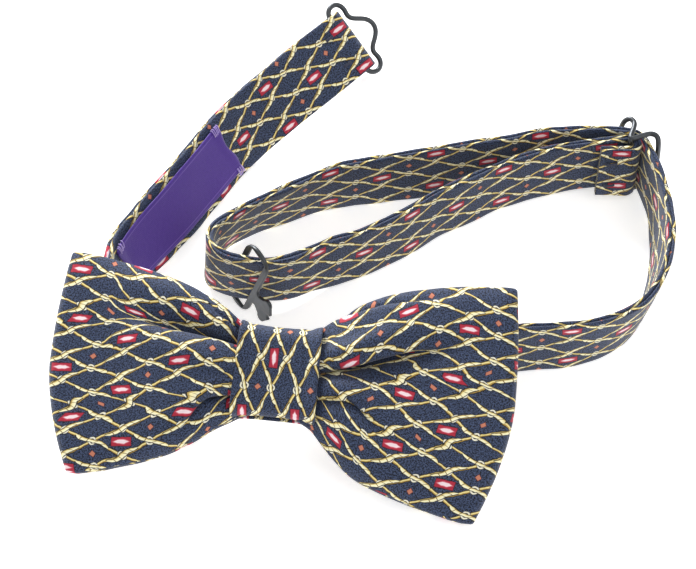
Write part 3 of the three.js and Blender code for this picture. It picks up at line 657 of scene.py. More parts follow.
def wing_surface(route, wing, share):
    """Middle of the cloth for the rows of one wing, and how much cloth its folds hide."""
    x, front, bulge = (route[:, i][:, None] for i in range(3))
    x = np.abs(x)
    top, bottom = lookup(x, wing["top"]), lookup(x, wing["bottom"])
    y = bottom + (top - bottom) * share
    rise = 2 * share - 1
    reach = smoothstep(x, 10, 34)
    pillow = (1 - np.abs(rise) ** 2.6) * (1 - reach) + (1 - np.abs(rise) ** 9) * reach
    z_front = lookup(x, FRONT_RISE) * (0.25 + 0.75 * pillow)
    z_back = -lookup(x, BACK_RISE) * (0.35 + 0.65 * pillow)
    hidden = np.zeros_like(y)
    lap = np.zeros_like(y)
    drop = np.zeros_like(y)
    for crease in wing["folds"]:
        line = lookup(x, crease["line"])
        strength = 1 - smoothstep(x, crease["fade"] * 0.35, crease["fade"])
        strength = strength * smoothstep(x, 2, 9)
        width = crease["width"] * (0.55 + 0.45 * smoothstep(x, 10, 30))
        away = (y - line) / width
        side = crease["side"]
        depth = crease["depth"] * strength
        # The valley, the broad slope down to it, and the swell beside it.
        drop += depth * np.exp(-((away + 0.38 * side) ** 2) * 2.4)
        slope = np.clip(-away * side, 0, None)
        drop += 0.5 * depth * np.exp(-((slope - 0.9) ** 2) * 0.45) * smoothstep(slope, 0, 0.9)
        drop -= 0.22 * depth * np.exp(-((away - 1.1 * side) ** 2) * 1.2)
        turn = np.sin(np.pi * np.clip(away, -1, 1)) * np.exp(-(away**2) * 0.4)
        lap -= crease["lap"] * strength * turn
        hidden += strength * np.exp(-((away + 0.3 * side) ** 2) * 1.6)
    y = y + lap * front
    z = z_front * front + z_back * (1 - front) - drop * front
    back = np.where(rise > 0, setback(rise, "upper"), setback(rise, "lower"))
    along = x + bulge - back * (x / BOW_END) ** 3
    hidden = hidden * front + 0.8 * np.abs(rise) ** 8 * (1 - reach)
    return along, y, z, hidden


def bow_surface():
    route = bow_route()
    share = np.linspace(0, 1, BOW_COLUMNS)[None]
    left = wing_surface(route, LEFT_WING, share)
    right = wing_surface(route, RIGHT_WING, share)
    is_right = (route[:, 0] > 0)[:, None]
    x, y, z, hidden = (np.where(is_right, r, l) for r, l in zip(right, left))
    x = np.where(is_right, x, -x)
    uneven = ripple(route[:, 0][:, None] + 14 * share, 0.16, shortest=11, longest=34)
    uneven = uneven + ripple(50 * share + 0.2 * route[:, 0][:, None], 0.12, shortest=9, longest=26)
    z = z + uneven * smoothstep(np.abs(x), 10, 20)
    middle = np.stack([x, y, z], axis=-1)
    # Across each row the cloth has its full height: what doesn't show is hidden in the folds.
    steps = np.linalg.norm(np.diff(middle, axis=1), axis=-1)
    spare = np.maximum(0, BOW_HEIGHT - steps.sum(1, keepdims=True))
    weight = (hidden[:, 1:] + hidden[:, :-1]) / 2 + 1e-3
    steps = steps + spare * weight / weight.sum(1, keepdims=True)
    v = np.concatenate([np.zeros((len(route), 1)), np.cumsum(steps, 1)], 1)
    v = v - v[:, BOW_COLUMNS // 2][:, None] * 0.5 - BOW_HEIGHT / 4
    along = np.linalg.norm(np.diff(middle, axis=0), axis=-1)
    for _ in range(8):
        along[:, 1:-1] = (along[:, :-2] + 2 * along[:, 1:-1] + along[:, 2:]) / 4
    u = np.concatenate([np.zeros((1, BOW_COLUMNS)), np.cumsum(along, 0)])
    u = u - u[len(route) // 2][None]
    return middle, u, v


def turned(points):
    """From the bow's own plane to its place on the table."""
    c, s = math.cos(BOW_ROLL), math.sin(BOW_ROLL)
    x, y, z = points[..., 0], points[..., 1], points[..., 2]
    x, y = c * x - s * y, s * x + c * y
    ct, st = math.cos(BOW_TILT), math.sin(BOW_TILT)
    return np.stack([x, ct * y - st * z, st * y + ct * z + BOW_RISE], axis=-1)


def make_bow():
    middle, u, v = bow_surface()
    normal = unit(np.cross(np.gradient(middle, axis=0), np.gradient(middle, axis=1)))
    lip = BOW_THICK / 2
    edge_low = unit(middle[:, 0] - middle[:, 1])
    edge_high = unit(middle[:, -1] - middle[:, -2])
    angles = np.radians([60, 25, -25, -60])
    high = [
        middle[:, -1] + lip * (edge_high * math.cos(a) + normal[:, -1] * math.sin(a)) for a in angles
    ]
    low = [middle[:, 0] + lip * (edge_low * math.cos(a) - normal[:, 0] * math.sin(a)) for a in angles]
    outer = middle + normal * lip
    inner = (middle - normal * lip)[:, ::-1]
    rows = np.concatenate([outer, np.stack(high, 1), inner, np.stack(low, 1)], axis=1)
    placed = turned(rows)
    table = -SHIFT[2] + 0.15
    placed[..., 2] = np.maximum(placed[..., 2], table)
    over = np.linspace(0.35, 1.5, 4)[None]
    v_high, v_low = v[:, -1:] + over, v[:, :1] - over[:, ::-1]
    v_inner = 2 * v[:, -1:] + 2 - v[:, ::-1]
    v_close = v_low - v[:, :1] + 2 * v[:, -1:] + 4 - v[:, :1]
    v_end = v_close[:, -1:] + 0.35
    vs = np.concatenate([v, v_high, v_inner, v_close, v_end], axis=1)
    us = np.concatenate([u, np.repeat(u[:, -1:], 4, 1), u[:, ::-1], np.repeat(u[:, :1], 5, 1)], axis=1)
    return make_tube("bow", placed, uv=np.stack([us + 4.5, vs + 2.0], axis=-1))


bow = make_bow()

# ---------------------------------------------------------------- the knot

KNOT_AT = -1.0
KNOT_WALL = 1.1
KNOT_CORNER = 4.2
KNOT_INSIDE = 0.5  # of the outline within the CAD knot's half height
KNOT_EDGE_ANGLES = [30, 60, 90, 120, 150]
KNOT_FLARE = 1.1
KNOT_CREASES = [(7.2, 0.9, 0.5), (-7.8, 1.1, 0.35)]  # place along the knot, width and depth
KNOT_WAIST = 0.25


def knot_outline(low, high, half, corner, count=96):
    """A rounded outline in height and depth, evenly spaced. It starts and ends at the middle of its
    back, which leaves a notch in its lower side instead of a wall."""
    points = []
    for side, deep, quarter in [(-1, 1, 1), (1, 1, 0), (1, -1, 3), (-1, -1, 2)]:
        middle = side * (half - corner)
        depth = high - corner if deep > 0 else low + corner
        angles = np.linspace(quarter + 1, quarter, 9) * math.pi / 2
        points += [(middle + corner * math.cos(a), depth + corner * math.sin(a)) for a in angles]
    points = np.array([(0.0, low)] + points + [(0.0, low)])
    run = run_along(np.column_stack([points, points[:, 0] * 0]))
    at = np.linspace(0, run[-1], count + 1)
    return np.stack([np.interp(at, run, points[:, i]) for i in (0, 1)], 1)[:-1], run[-1]


def make_knot():
    """The wrap, as a ring of cloth whose two edges are turned in."""
    half_length = KNOT_LENGTH / 2
    lip = KNOT_WALL / 2
    xs = np.linspace(-half_length + lip, half_length - lip, 30)
    outline, girth = knot_outline(KNOT_BACK, KNOT_FRONT, KNOT_HALF - KNOT_INSIDE, KNOT_CORNER)
    count = len(outline)
    centre = np.array([0, (KNOT_BACK + KNOT_FRONT) / 2])
    tangent = unit(np.roll(outline, -1, 0) - np.roll(outline, 1, 0))
    out = np.stack([tangent[:, 1], -tangent[:, 0]], 1)
    if np.sum(out * (outline - centre)) < 0:
        out = -out
    angle = np.arange(count) / count * 2 * math.pi
    soft = 0.18 * np.sin(angle * 3 + 0.6) + 0.12 * np.sin(angle * 5 + 2.0)
    around = np.arange(count + 1) / count * girth
    is_front = smoothstep(outline[:, 1], -4, 4)

    def ring(x, inset):
        swell = KNOT_FLARE * np.abs(x / half_length) ** 3 * (0.35 + 0.65 * is_front)
        for at, width, depth in KNOT_CREASES:
            swell = swell - depth * np.exp(-(((x - at) / width) ** 2)) * is_front
        swell = swell - KNOT_WAIST * np.cos(x / half_length * math.pi / 2) * is_front
        flat = outline + out * (swell + soft * is_front - inset)[:, None]
        slant = 0.35 * np.sin(angle + 0.4) * np.sign(x) * (abs(x) / half_length) ** 4
        return np.column_stack([x + KNOT_AT + slant, flat])

    rows = [ring(x, 0) for x in xs]
    v = list(xs)
    for a in np.radians(KNOT_EDGE_ANGLES):
        rows.append(ring(xs[-1] + lip * math.sin(a), lip - lip * math.cos(a)))
        v.append(xs[-1] + lip * a)
    for x in xs[::-4]:
        rows.append(ring(x, 2 * lip))
        v.append(v[-1] + 1.0)
    for a in np.radians(KNOT_EDGE_ANGLES[::-1]):
        rows.append(ring(xs[0] - lip * math.sin(a), lip - lip * math.cos(a)))
        v.append(xs[0] - lip * a)
    rows = turned(np.array(rows))
    v = np.array(v + [xs[0]])
    uv = np.empty((len(rows) + 1, count + 1, 2))
    uv[:, :, 0] = around[None] + 5.0
    uv[:, :, 1] = v[:, None] + 1.0
    return make_tube("knot_wrap_cloth", rows, closed=True, uv=uv)


knot = make_knot()

# ---------------------------------------------------------------- label, stitches and tacks


LABEL_GAP = 0.28  # over the band's face
LABEL_THICK = 0.42
LABEL_HEM = 0.28
LABEL_HEM_LENGTH = 2.2
LABEL_EDGE = 0.14
STITCH_INSET = 1.8
THREAD_STEP = 0.12


def make_label():
    """A woven label on the strap's face, its ends turned under and its long edges a little raised."""
    part = left_strip.part(short_start + LABEL_START, short_start + LABEL_START + LABEL_LENGTH)
    run = part.run[:, None]
    share = run / part.run[-1]
    face = BAND_THICK / 2 + LABEL_GAP
    ends = (run / LABEL_HEM_LENGTH, (part.run[-1] - run) / LABEL_HEM_LENGTH)
    hem = LABEL_HEM * sum(np.exp(-(end**4)) for end in ends)
    across = np.linspace(-1, 1, 15)[None]
    lifted = 0.25 * (across**4) * np.sin(share * math.pi * 3 + 0.5) ** 2
    lifted = lifted + 0.1 * np.sin(share * 14) * (1 - across**2)
    pucker = np.zeros_like(lifted)
    for end in (0.03, 0.97):
        for side in (-0.9, 0.9):
            pucker += 0.22 * np.exp(-(((share - end) / 0.03) ** 2) - ((across - side) / 0.12) ** 2)
    scallop = 0.5 * np.sin(across * math.pi * 1.5 + 0.7) * (np.exp(-share * 30) - np.exp(-(1 - share) * 30))
    height = face + lifted - pucker
    thick = LABEL_THICK + hem

    def surface(depth, widen):
        width = across * (LABEL_WIDTH / 2 - 0.1 + widen)
        base = part.middle[:, None] + part.wide[:, None] * width[:, :, None]
        base = base + part.tangent[:, None] * scallop[:, :, None]
        return base + part.thick[:, None] * depth[:, :, None]

    top, bottom = surface(height + thick, 0), surface(height, 0)
    edge = surface(height + thick / 2, LABEL_EDGE)
    rows = np.concatenate([top, edge[:, -1:], bottom[:, ::-1], edge[:, :1]], axis=1)
    count = rows.shape[1]
    width = np.concatenate([across[0], [1.0], across[0][::-1], [-1.0], [-1.0]]) * LABEL_WIDTH / 2
    uv = np.empty((len(rows), count + 1, 2))
    uv[:, :, 0] = part.run[:, None]
    uv[:, :, 1] = width[None]
    return make_tube("woven_label", rows, uv=uv), part


label, label_part = make_label()


def thread_run(points, radius=0.17, sides=8):
    """A piece of sewing thread with rounded ends, as (points, quads)."""
    line = resample(spline(points, per=8), THREAD_STEP)
    size = np.full(len(line), float(radius))
    size[0] = size[-1] = radius * 0.25
    size[1] = size[-2] = radius * 0.8
    rows = wire_rows(line, size, sides)
    return rows, tube_quads(len(line), sides)


def on_strip(strip, run, across, depth):
    """Points at runs along a strip, distances across it and out of its face."""
    at = np.searchsorted(strip.run, run).clip(1, len(strip.run) - 1)
    share = (run - strip.run[at - 1]) / (strip.run[at] - strip.run[at - 1])

    def mix(values):
        return values[at - 1] * (1 - share) + values[at] * share

    return mix(strip.middle) + mix(strip.wide) * across + mix(strip.thick) * depth


CORNER_STITCHES = 5
CORNER_PITCH = 0.55
CORNER_REACH = (1.3, 0.75)  # to each side of the corner's middle
CORNER_LIFT = 0.95


def label_corner(name, run, across):
    """Overcast stitches that hold one corner of the label down."""
    face = BAND_THICK / 2 + CORNER_LIFT
    parts = []
    for i in range(CORNER_STITCHES):
        lean = rng.uniform(-0.5, 0.5)
        along = run + (i - (CORNER_STITCHES - 1) / 2) * CORNER_PITCH
        start = (along, across - CORNER_REACH[0] + rng.uniform(-0.2, 0.2))
        end = (start[0] + lean, across + CORNER_REACH[1])
        middle = ((start[0] + end[0]) / 2, (start[1] + end[1]) / 2)
        points = [
            on_strip(label_part, start[0], start[1], face - 0.3),
            on_strip(label_part, start[0] + 0.1, start[1] + 0.2, face),
            on_strip(label_part, middle[0], middle[1], face + 0.12),
            on_strip(label_part, end[0], end[1], face - 0.1),
            on_strip(label_part, end[0], end[1] + 0.12, face - 0.75),
        ]
        parts.append(thread_run(points, 0.15))
    return join_parts(name, parts)


label_corners = [
    label_corner(f"label_stitches_{i + 1}", run, side * (LABEL_WIDTH / 2 - 0.6))
    for i, (run, side) in enumerate(
        (run, side) for run in (STITCH_INSET, LABEL_LENGTH - STITCH_INSET) for side in (-1, 1)
    )
]


def bar_tack(name, strip, run, across, side):
    """Strands of thread over both faces of a folded end, drawn together at the middle."""
    near = -side * (BAND_THICK / 2 - TACK_SUNK)
    far = side * (2 * FOLD_RADIUS + BAND_THICK / 2 - TACK_SUNK)
    parts = []
    for strand in (-1, 0, 1):
        offset = across + strand * 0.3
        for depth, out in ((near, -side), (far, side)):
            points = [
                on_strip(strip, run - TACK_SPAN / 2, offset, depth - out * 0.5),
                on_strip(strip, run - TACK_SPAN / 2 + 0.25, offset, depth + out * 0.05),
                on_strip(strip, run, across + strand * 0.22, depth + out * 0.2),
                on_strip(strip, run + TACK_SPAN / 2 - 0.25, offset, depth + out * 0.05),
                on_strip(strip, run + TACK_SPAN / 2, offset, depth - out * 0.5),
            ]
            parts.append(thread_run(points, 0.16))
    return join_parts(name, parts)


ring_tacks = [
    bar_tack(f"ring_tack_threads_{i + 1}", left_strip, run, across, -1)
    for i, (run, across) in enumerate(tack_places(left_strip))
]
slider_tacks = [
    bar_tack(f"slider_tack_threads_{i + 1}", right_strip, run, across, 1)
    for i, (run, across) in enumerate(tack_places(right_strip))
]


SEAM_STITCHES = 9
SEAM_PITCH = 2


def knot_seam():
    """Slip stitches along the seam on the back of the wrap."""
    parts = []
    back = KNOT_BACK + TACK_SUNK
    for i in range(SEAM_STITCHES):
        x = KNOT_AT + SEAM_PITCH * (i - (SEAM_STITCHES - 1) / 2)
        y = -5 + 0.25 * math.sin(i * 2.3)
        points = [(x, y, back + 0.3), (x + 0.2, y, back - 0.12), (x + 0.8, y + 0.15, back - 0.22)]
        points += [(x + 1.4, y + 0.3, back - 0.12), (x + 1.6, y + 0.3, back + 0.3)]
        rows, quads = thread_run(points, 0.16)
        parts.append((turned(rows), quads))
    return join_parts("knot_seam_stitches", parts)


seam = knot_seam()

# ---------------------------------------------------------------- metal fittings


def make_ring():
    """The eye: one bent wire whose bar lies in the fold and whose arch takes the hook."""
    shoulder = FOLD_OUTER + RING_DIP
    radius = shoulder / 2
    side = RING_WIDTH / 2 - WIRE_RADIUS - radius
    top = FOLD_OUTER + RING_REACH - WIRE_RADIUS
    half = [(side / 2, 0)]
    for angle in np.linspace(-math.pi / 2, math.pi / 2, 5):
        half.append((side + radius * math.cos(angle), radius + radius * math.sin(angle)))
    half += [
        (RING_ARCH + 2.6, shoulder - 0.5),
        (RING_ARCH + 0.9, shoulder + 1),
        (RING_ARCH, top - RING_ARCH * 2 / 3),
        (RING_ARCH / 2, top - 0.5),
    ]
    outline = [(0, 0)] + half + [(0, top)] + [(-x, y) for x, y in half[::-1]]
    wide, tangent = left_strip.wide[-1], left_strip.tangent[-1]
    points = np.array([ring_bar + wide * x + tangent * y for x, y in outline])
    line = relax(resample(spline(points, closed=True), 0.5), 6, closed=True)
    return make_tube("eye_ring_wire", wire_rows(line, WIRE_RADIUS, 16, closed=True), closed=True)


ring = make_ring()


def make_slider():
    """A bent figure of eight with a middle bar."""
    turn = math.radians((SLIDER_TURN[1] - SLIDER_TURN[0]) / 2)
    middle = math.radians((SLIDER_TURN[1] + SLIDER_TURN[0]) / 2)
    out = np.array([math.cos(middle), math.sin(middle), 0])
    along = np.array([math.sin(middle), -math.cos(middle), 0])
    half = SLIDER_SPAN / 2
    clear = RUNNING_RADIUS + BAND_THICK / 2 + SLIDER_SPARE + WIRE_RADIUS
    depth = clear / math.cos(turn) - half * math.tan(turn)
    low, high = WIRE_RADIUS, SLIDER_LIFT + BAND_WIDTH + SLIDER_OVER + WIRE_RADIUS
    rail = [(-half + 1.3, depth + 0.9), (-half / 2, depth + 0.6), (-1.5, depth - 1.9), (0, 0)]
    rail += [(-u, v) for u, v in rail[2::-1]]

    def at(u, v, z):
        return SLIDER_BAR + along * u + out * v + np.array([0, 0, z])

    points = [at(u, v, high) for u, v in rail]
    points += [at(half, depth, high - SLIDER_CORNER), at(half, depth, low + SLIDER_CORNER)]
    points += [at(u, v, low) for u, v in rail[::-1]]
    points += [at(-half, depth, low + SLIDER_CORNER), at(-half, depth, high - SLIDER_CORNER)]
    line = relax(resample(spline(points, closed=True), 0.5), 3, closed=True)
    loop = wire_rows(line, WIRE_RADIUS, 16, closed=True)
    bar_line = np.array([at(0, 0, z) for z in np.linspace(low - 0.2, high + 0.2, 24)])
    bar = wire_rows(bar_line, WIRE_RADIUS * SLIDER_BAR_SHARE, 16)
    parts = [
        (loop, tube_quads(loop.shape[0], loop.shape[1], True)),
        (bar, tube_quads(bar.shape[0], bar.shape[1])),
    ]
    return join_parts("slider_frame", parts)


slider = make_slider()


def arc(x, y, radius, start, end, steps=8):
    angles = np.radians(np.linspace(start, end, steps + 1))
    return [(x + radius * math.cos(a), y + radius * math.sin(a)) for a in angles]


def hook_outlines():
    """The plate's outline and its slot's, in the plate's own plane."""
    band_side = (BAND_THICK / 2 + HOOK_PLATE / 2 * math.cos(HOOK_TURN)) / math.sin(HOOK_TURN)
    slot_side = band_side + HOOK_SLOT_SPARE[0]
    slot_end = BAND_WIDTH / 2 / math.cos(HOOK_SKEW) + HOOK_SLOT_SPARE[1]
    side, end = slot_side + HOOK_RIM[0], slot_end + HOOK_RIM[1]
    corner = side - HOOK_PLATE / 2
    fillet, middle = -side - HOOK_FILLET, HOOK_TONGUE_AT
    tip = -side - HOOK_TONGUE
    lobe = tip + HOOK_LOBE_BACK
    outline = arc(side - corner, end - corner, corner, 0, 90)
    outline += arc(corner - side, end - corner, corner, 90, 180)
    outline += arc(fillet, middle + HOOK_NECK + HOOK_FILLET, HOOK_FILLET, 0, -90, 5)
    outline += arc(lobe, middle + HOOK_LOBE_OUT, HOOK_LOBE, 10, 180)
    outline += arc(tip - HOOK_LOBE, middle, HOOK_NOTCH, 90, -90, 6)
    outline += arc(lobe, middle - HOOK_LOBE_OUT, HOOK_LOBE, 180, 350)
    outline += arc(fillet, middle - HOOK_NECK - HOOK_FILLET, HOOK_FILLET, 90, 0, 5)
    outline += arc(corner - side, corner - end, corner, 180, 270)
    outline += arc(side - corner, corner - end, corner, 270, 360)
    slot = []
    for quarter, (x, y) in enumerate([(1, 1), (-1, 1), (-1, -1), (1, -1)]):
        centre = x * (slot_side - HOOK_SLOT_CORNER), y * (slot_end - HOOK_SLOT_CORNER)
        slot += arc(*centre, HOOK_SLOT_CORNER, 90 * quarter, 90 * quarter + 90, 4)
    return outline, slot


def plate_mesh(outlines):
    """A flat plate with bevelled edges between an outline and the slot in it."""
    curve = bpy.data.curves.new("hook_outline", "CURVE")
    curve.dimensions, curve.fill_mode = "2D", "BOTH"
    curve.extrude = HOOK_PLATE / 2 - HOOK_BEVEL
    curve.bevel_depth, curve.bevel_resolution = HOOK_BEVEL, 3
    curve.offset = -HOOK_BEVEL
    for points in outlines:
        line = curve.splines.new("POLY")
        line.points.add(len(points) - 1)
        for point, (x, y) in zip(line.points, points):
            point.co = (x, y, 0, 1)
        line.use_cyclic_u = True
    flat = bpy.data.objects.new("hook_outline", curve)
    bpy.context.scene.collection.objects.link(flat)
    mesh = bpy.data.meshes.new_from_object(flat.evaluated_get(bpy.context.evaluated_depsgraph_get()))
    bpy.data.objects.remove(flat)
    return mesh


def make_hook():
    """A flat hook with a slot for the band and a notched tongue that catches in the ring."""
    mesh = plate_mesh(hook_outlines())
    x, y, lift, lean = HOOK_STATION
    seat = right_strip.nearest(np.array([x, y + UPRIGHT, station_height(lift, lean)]))
    across, along, wide = -right_strip.thick[seat], right_strip.tangent[seat], right_strip.wide[seat]
    long_axis = wide * math.cos(HOOK_SKEW) - along * math.sin(HOOK_SKEW)
    short_axis = np.cross(long_axis, across) * math.cos(HOOK_TURN) + across * math.sin(HOOK_TURN)
    basis = np.stack([short_axis, long_axis, np.cross(short_axis, long_axis)], axis=1)
    points = np.array([v.co for v in mesh.vertices]) @ basis.T + right_strip.middle[seat]
    obj = join_parts("hook_plate", [(points, [tuple(f.vertices) for f in mesh.polygons])])
    bpy.data.meshes.remove(mesh)
    weld = obj.modifiers.new("weld", "WELD")
    weld.merge_threshold = 0.02 * MM
    return obj


hook = make_hook()

# ---------------------------------------------------------------- node material helpers


class Value:
    """A number in a node tree, with arithmetic."""

    def __init__(self, tree, socket):
        self.tree, self.socket = tree, socket

    def op(self, kind, *others, clamp=False):
        node = self.tree.nodes.new("ShaderNodeMath")
        node.operation, node.use_clamp = kind, clamp
        for target, value in zip(node.inputs, (self, *others)):
            if isinstance(value, Value):
                self.tree.links.new(value.socket, target)
            else:
                target.default_value = value
        return Value(self.tree, node.outputs[0])

    def __add__(self, other):
        return self.op("ADD", other)

    def __sub__(self, other):
        return self.op("SUBTRACT", other)

    def __mul__(self, other):
        return self.op("MULTIPLY", other)

    def __truediv__(self, other):
        return self.op("DIVIDE", other)

    def __abs__(self):
        return self.op("ABSOLUTE")

    def floor(self):
        return self.op("FLOOR")

    def round(self):
        return self.op("ROUND")

    def sin(self):
        return self.op("SINE")

    def wrap(self, low, high):
        return self.op("WRAP", high, low)

    def least(self, other):
        return self.op("MINIMUM", other)

    def most(self, other):
        return self.op("MAXIMUM", other)

    def below(self, edge, soft=0.06):
        """1 where this is under the edge, 0 where it is over it, with a soft step between."""
        return ((self * (-1 / soft)) + (edge / soft + 0.5)).op("MAXIMUM", 0.0).op("MINIMUM", 1.0)

    def under(self, edge, soft=0.06):
        """The same, where the edge is a value too."""
        return ((edge - self) / soft + 0.5).op("MAXIMUM", 0.0).op("MINIMUM", 1.0)


def srgb(red, green, blue):
    """A linear colour from 0 to 255 display values."""
    return tuple(
        (c / 255 / 12.92) if c < 10.3 else ((c / 255 + 0.055) / 1.055) ** 2.4 for c in (red, green, blue)
    ) + (1.0,)


class Surface:
    """A material under construction: one Principled shader and what feeds it."""

    def __init__(self, name, uv=None, **constants):
        self.material = bpy.data.materials.new(name)
        self.material.use_nodes = True
        self.tree = self.material.node_tree
        self.shader = self.tree.nodes["Principled BSDF"]
        for key, value in constants.items():
            self.shader.inputs[key.replace("_", " ")].default_value = value
        if uv:
            node = self.tree.nodes.new("ShaderNodeUVMap")
            node.uv_map = uv
            self.where = node.outputs[0]
        else:
            self.where = self.tree.nodes.new("ShaderNodeTexCoord").outputs["Object"]

    def split(self):
        node = self.tree.nodes.new("ShaderNodeSeparateXYZ")
        self.tree.links.new(self.where, node.inputs[0])
        return Value(self.tree, node.outputs[0]), Value(self.tree, node.outputs[1])

    def noise(self, scale, detail=2.0, roughness=0.5, stretch=None):
        node = self.tree.nodes.new("ShaderNodeTexNoise")
        node.inputs["Scale"].default_value = scale
        node.inputs["Detail"].default_value = detail
        node.inputs["Roughness"].default_value = roughness
        source = self.where
        if stretch:
            mapping = self.tree.nodes.new("ShaderNodeMapping")
            mapping.inputs["Scale"].default_value = stretch
            self.tree.links.new(source, mapping.inputs["Vector"])
            source = mapping.outputs[0]
        self.tree.links.new(source, node.inputs["Vector"])
        return Value(self.tree, node.outputs[0])

    def mix(self, amount, low, high):
        """A colour between two: each is a colour or a socket."""
        node = self.tree.nodes.new("ShaderNodeMix")
        node.data_type = "RGBA"
        factor, _, _, _, _, _, first, second = node.inputs[:8]
        if isinstance(amount, Value):
            self.tree.links.new(amount.socket, factor)
        else:
            factor.default_value = amount
        for target, colour in ((first, low), (second, high)):
            if isinstance(colour, tuple):
                target.default_value = colour
            else:
                self.tree.links.new(colour, target)
        return node.outputs[2]

    def colour(self, socket):
        self.tree.links.new(socket, self.shader.inputs["Base Color"])

    def feed(self, key, value):
        self.tree.links.new(value.socket, self.shader.inputs[key])

    def bump(self, height, strength, distance):
        node = self.tree.nodes.new("ShaderNodeBump")
        node.inputs["Strength"].default_value = strength
        node.inputs["Distance"].default_value = distance
        self.tree.links.new(height.socket, node.inputs["Height"])
        self.tree.links.new(node.outputs[0], self.shader.inputs["Normal"])

    def on(self, *objects):
        for obj in objects:
            obj.data.materials.clear()
            obj.data.materials.append(self.material)


# ---------------------------------------------------------------- materials

# The print's sizes are millimetres of cloth.
LONG, SHORT_DIAGONAL = 15.0, 6.6  # of the lattice's cells
LINK = math.hypot(LONG, SHORT_DIAGONAL) / 2  # between two knots
ACROSS = LONG * SHORT_DIAGONAL / (2 * LINK)  # between two parallel ropes
FRAME_EDGE, FRAME = (2.62, 1.2), (2.45, 1.02)  # half length and half height
DIAMOND_EDGE, DIAMOND = 0.98, 0.78
CORD_EDGE, CORD, CORD_LIGHT = 0.45, 0.27, 0.12
CORD_SWAY = 0.12
KNOT_RING, KNOT_RING_EDGE, KNOT_RING_BODY = 0.84, 0.3, 0.19
ROPE_HALF, ROPE_TAPER, ROPE_EDGE = 0.4, 0.3, 0.18
ROPE_END = 0.56  # share of the way from a link's middle to the next link's
ROPE_BEND, ROPE_SLANT = 0.3, 0.2
ROPE_TICKS = (0.12, 0.34)
CLOTH_THREADS = 2.1  # in a millimetre


def printed_cloth():
    s = Surface("printed_cloth", uv="cloth", Roughness=0.72, Sheen_Weight=0.18, Sheen_Roughness=0.45)
    s.shader.inputs["Specular IOR Level"].default_value = 0.32
    u, v = s.split()
    sway = (s.noise(0.55, 1.0) - 0.5) * 0.5
    u, v = u + sway, v + (s.noise(0.8, 1.0) - 0.5) * 0.35
    a, b = u / LONG + v / SHORT_DIAGONAL, u / LONG - v / SHORT_DIAGONAL
    near_a, near_b = a.round(), b.round()
    off_a, off_b = a - near_a, b - near_b

    # Navy ground with a fine two-tone weave.
    weave = s.noise(2.5, 2.0, 0.8)
    grain = s.noise(6.0, 1.0, 0.6)
    speck = (weave * 0.8 + grain * 0.2 - 0.455).op("MULTIPLY", 12.0, clamp=True)
    look = s.mix(speck, srgb(3, 7, 22), srgb(64, 78, 110))

    def ink(mask, colour):
        nonlocal look
        look = s.mix(mask, look, colour)

    # Framed motifs and diamonds in the middles of every other row of cells.
    cell_a, cell_b = a.floor(), b.floor()
    mid_a, mid_b = a - cell_a - 0.5, b - cell_b - 0.5
    x = (mid_a + mid_b) * (LONG / 2)
    y = (mid_a - mid_b) * (SHORT_DIAGONAL / 2)
    row = cell_b.wrap(0, 2).below(0.5)
    has_bar = row * cell_a.wrap(0, 2).below(0.5)
    has_dot = row - has_bar
    wide, high = abs(x), abs(y)
    for (half_length, half_height), colour in ((FRAME_EDGE, srgb(52, 14, 34)), (FRAME, srgb(172, 36, 58))):
        ink((wide - half_length).most(high - half_height).below(0) * has_bar, colour)
    petal = wide * 0.42 + high
    ink(petal.below(0.92, 0.25).least(high.below(0.62)) * has_bar, srgb(216, 104, 122))
    ink(petal.below(0.78, 0.16).least(high.below(0.42)) * has_bar, srgb(244, 222, 226))
    ink((wide + high).below(DIAMOND_EDGE) * has_dot, srgb(70, 30, 40))
    ink((wide + high).below(DIAMOND) * has_dot, srgb(196, 122, 96))

    # Thin gold cords, the ring at each knot, then the thick twisted links over them.
    cream, pale = srgb(240, 226, 156), srgb(250, 244, 206)
    gold, dark = srgb(184, 150, 72), srgb(34, 32, 24)
    cords = []
    for off, other, phase, flip in ((off_a, b - near_a, 1.0, 1), (off_b, a - near_b, 0.0, -1)):
        gap = off * ACROSS
        along = (other + phase).wrap(0, 2) - 1
        cords.append((gap, along, flip))
        swayed = gap - (along * math.pi).sin() * CORD_SWAY
        ink(abs(swayed).below(CORD_EDGE), dark)
        ink(abs(swayed).below(CORD), gold)
        ink(abs(swayed - 0.06 * flip).below(CORD_LIGHT, 0.1), cream)
    from_knot = [(off_a + off_b) * (LONG / 2), (off_a - off_b) * (SHORT_DIAGONAL / 2)]
    radius = (from_knot[0].op("POWER", 2.0) + from_knot[1].op("POWER", 2.0)).op("SQRT")
    ink(abs(radius - KNOT_RING).below(KNOT_RING_EDGE), dark)
    ink(abs(radius - KNOT_RING).below(KNOT_RING_BODY), srgb(236, 232, 212))
    for gap, along, flip in cords:
        reach = abs(along)
        bend = (along * (1.9 * math.pi)).sin() * (ROPE_BEND * flip)
        side = gap - bend - along * (ROPE_SLANT * flip)
        taper = (reach * 1.82).op("POWER", 6.0).op("MINIMUM", 1.0)
        half = (taper * -ROPE_TAPER) + ROPE_HALF
        inside = reach.below(ROPE_END, 0.02)
        ink(abs(side).under(half + ROPE_EDGE) * inside, dark)
        body = abs(side).under(half) * inside
        shade = (side * flip + 0.15).op("MULTIPLY", 2.2, clamp=True)
        look = s.mix(body, look, s.mix(shade, pale, cream))
        ink(body * (side * flip).op("MULTIPLY", -1.0).below(-0.27, 0.12), gold)
        for tick in ROPE_TICKS:
            slant = abs(reach - tick - side * 0.06)
            ink(body * slant.below(0.014, 0.012), srgb(132, 104, 44))
    s.colour(look)
    pitch = 2 * math.pi * CLOTH_THREADS
    s.bump((u * pitch).sin() * (v * pitch).sin() * 0.35 + weave * 0.8 + grain * 0.5, 0.35, 0.00012)
    s.feed("Roughness", weave * 0.18 + 0.62)
    return s


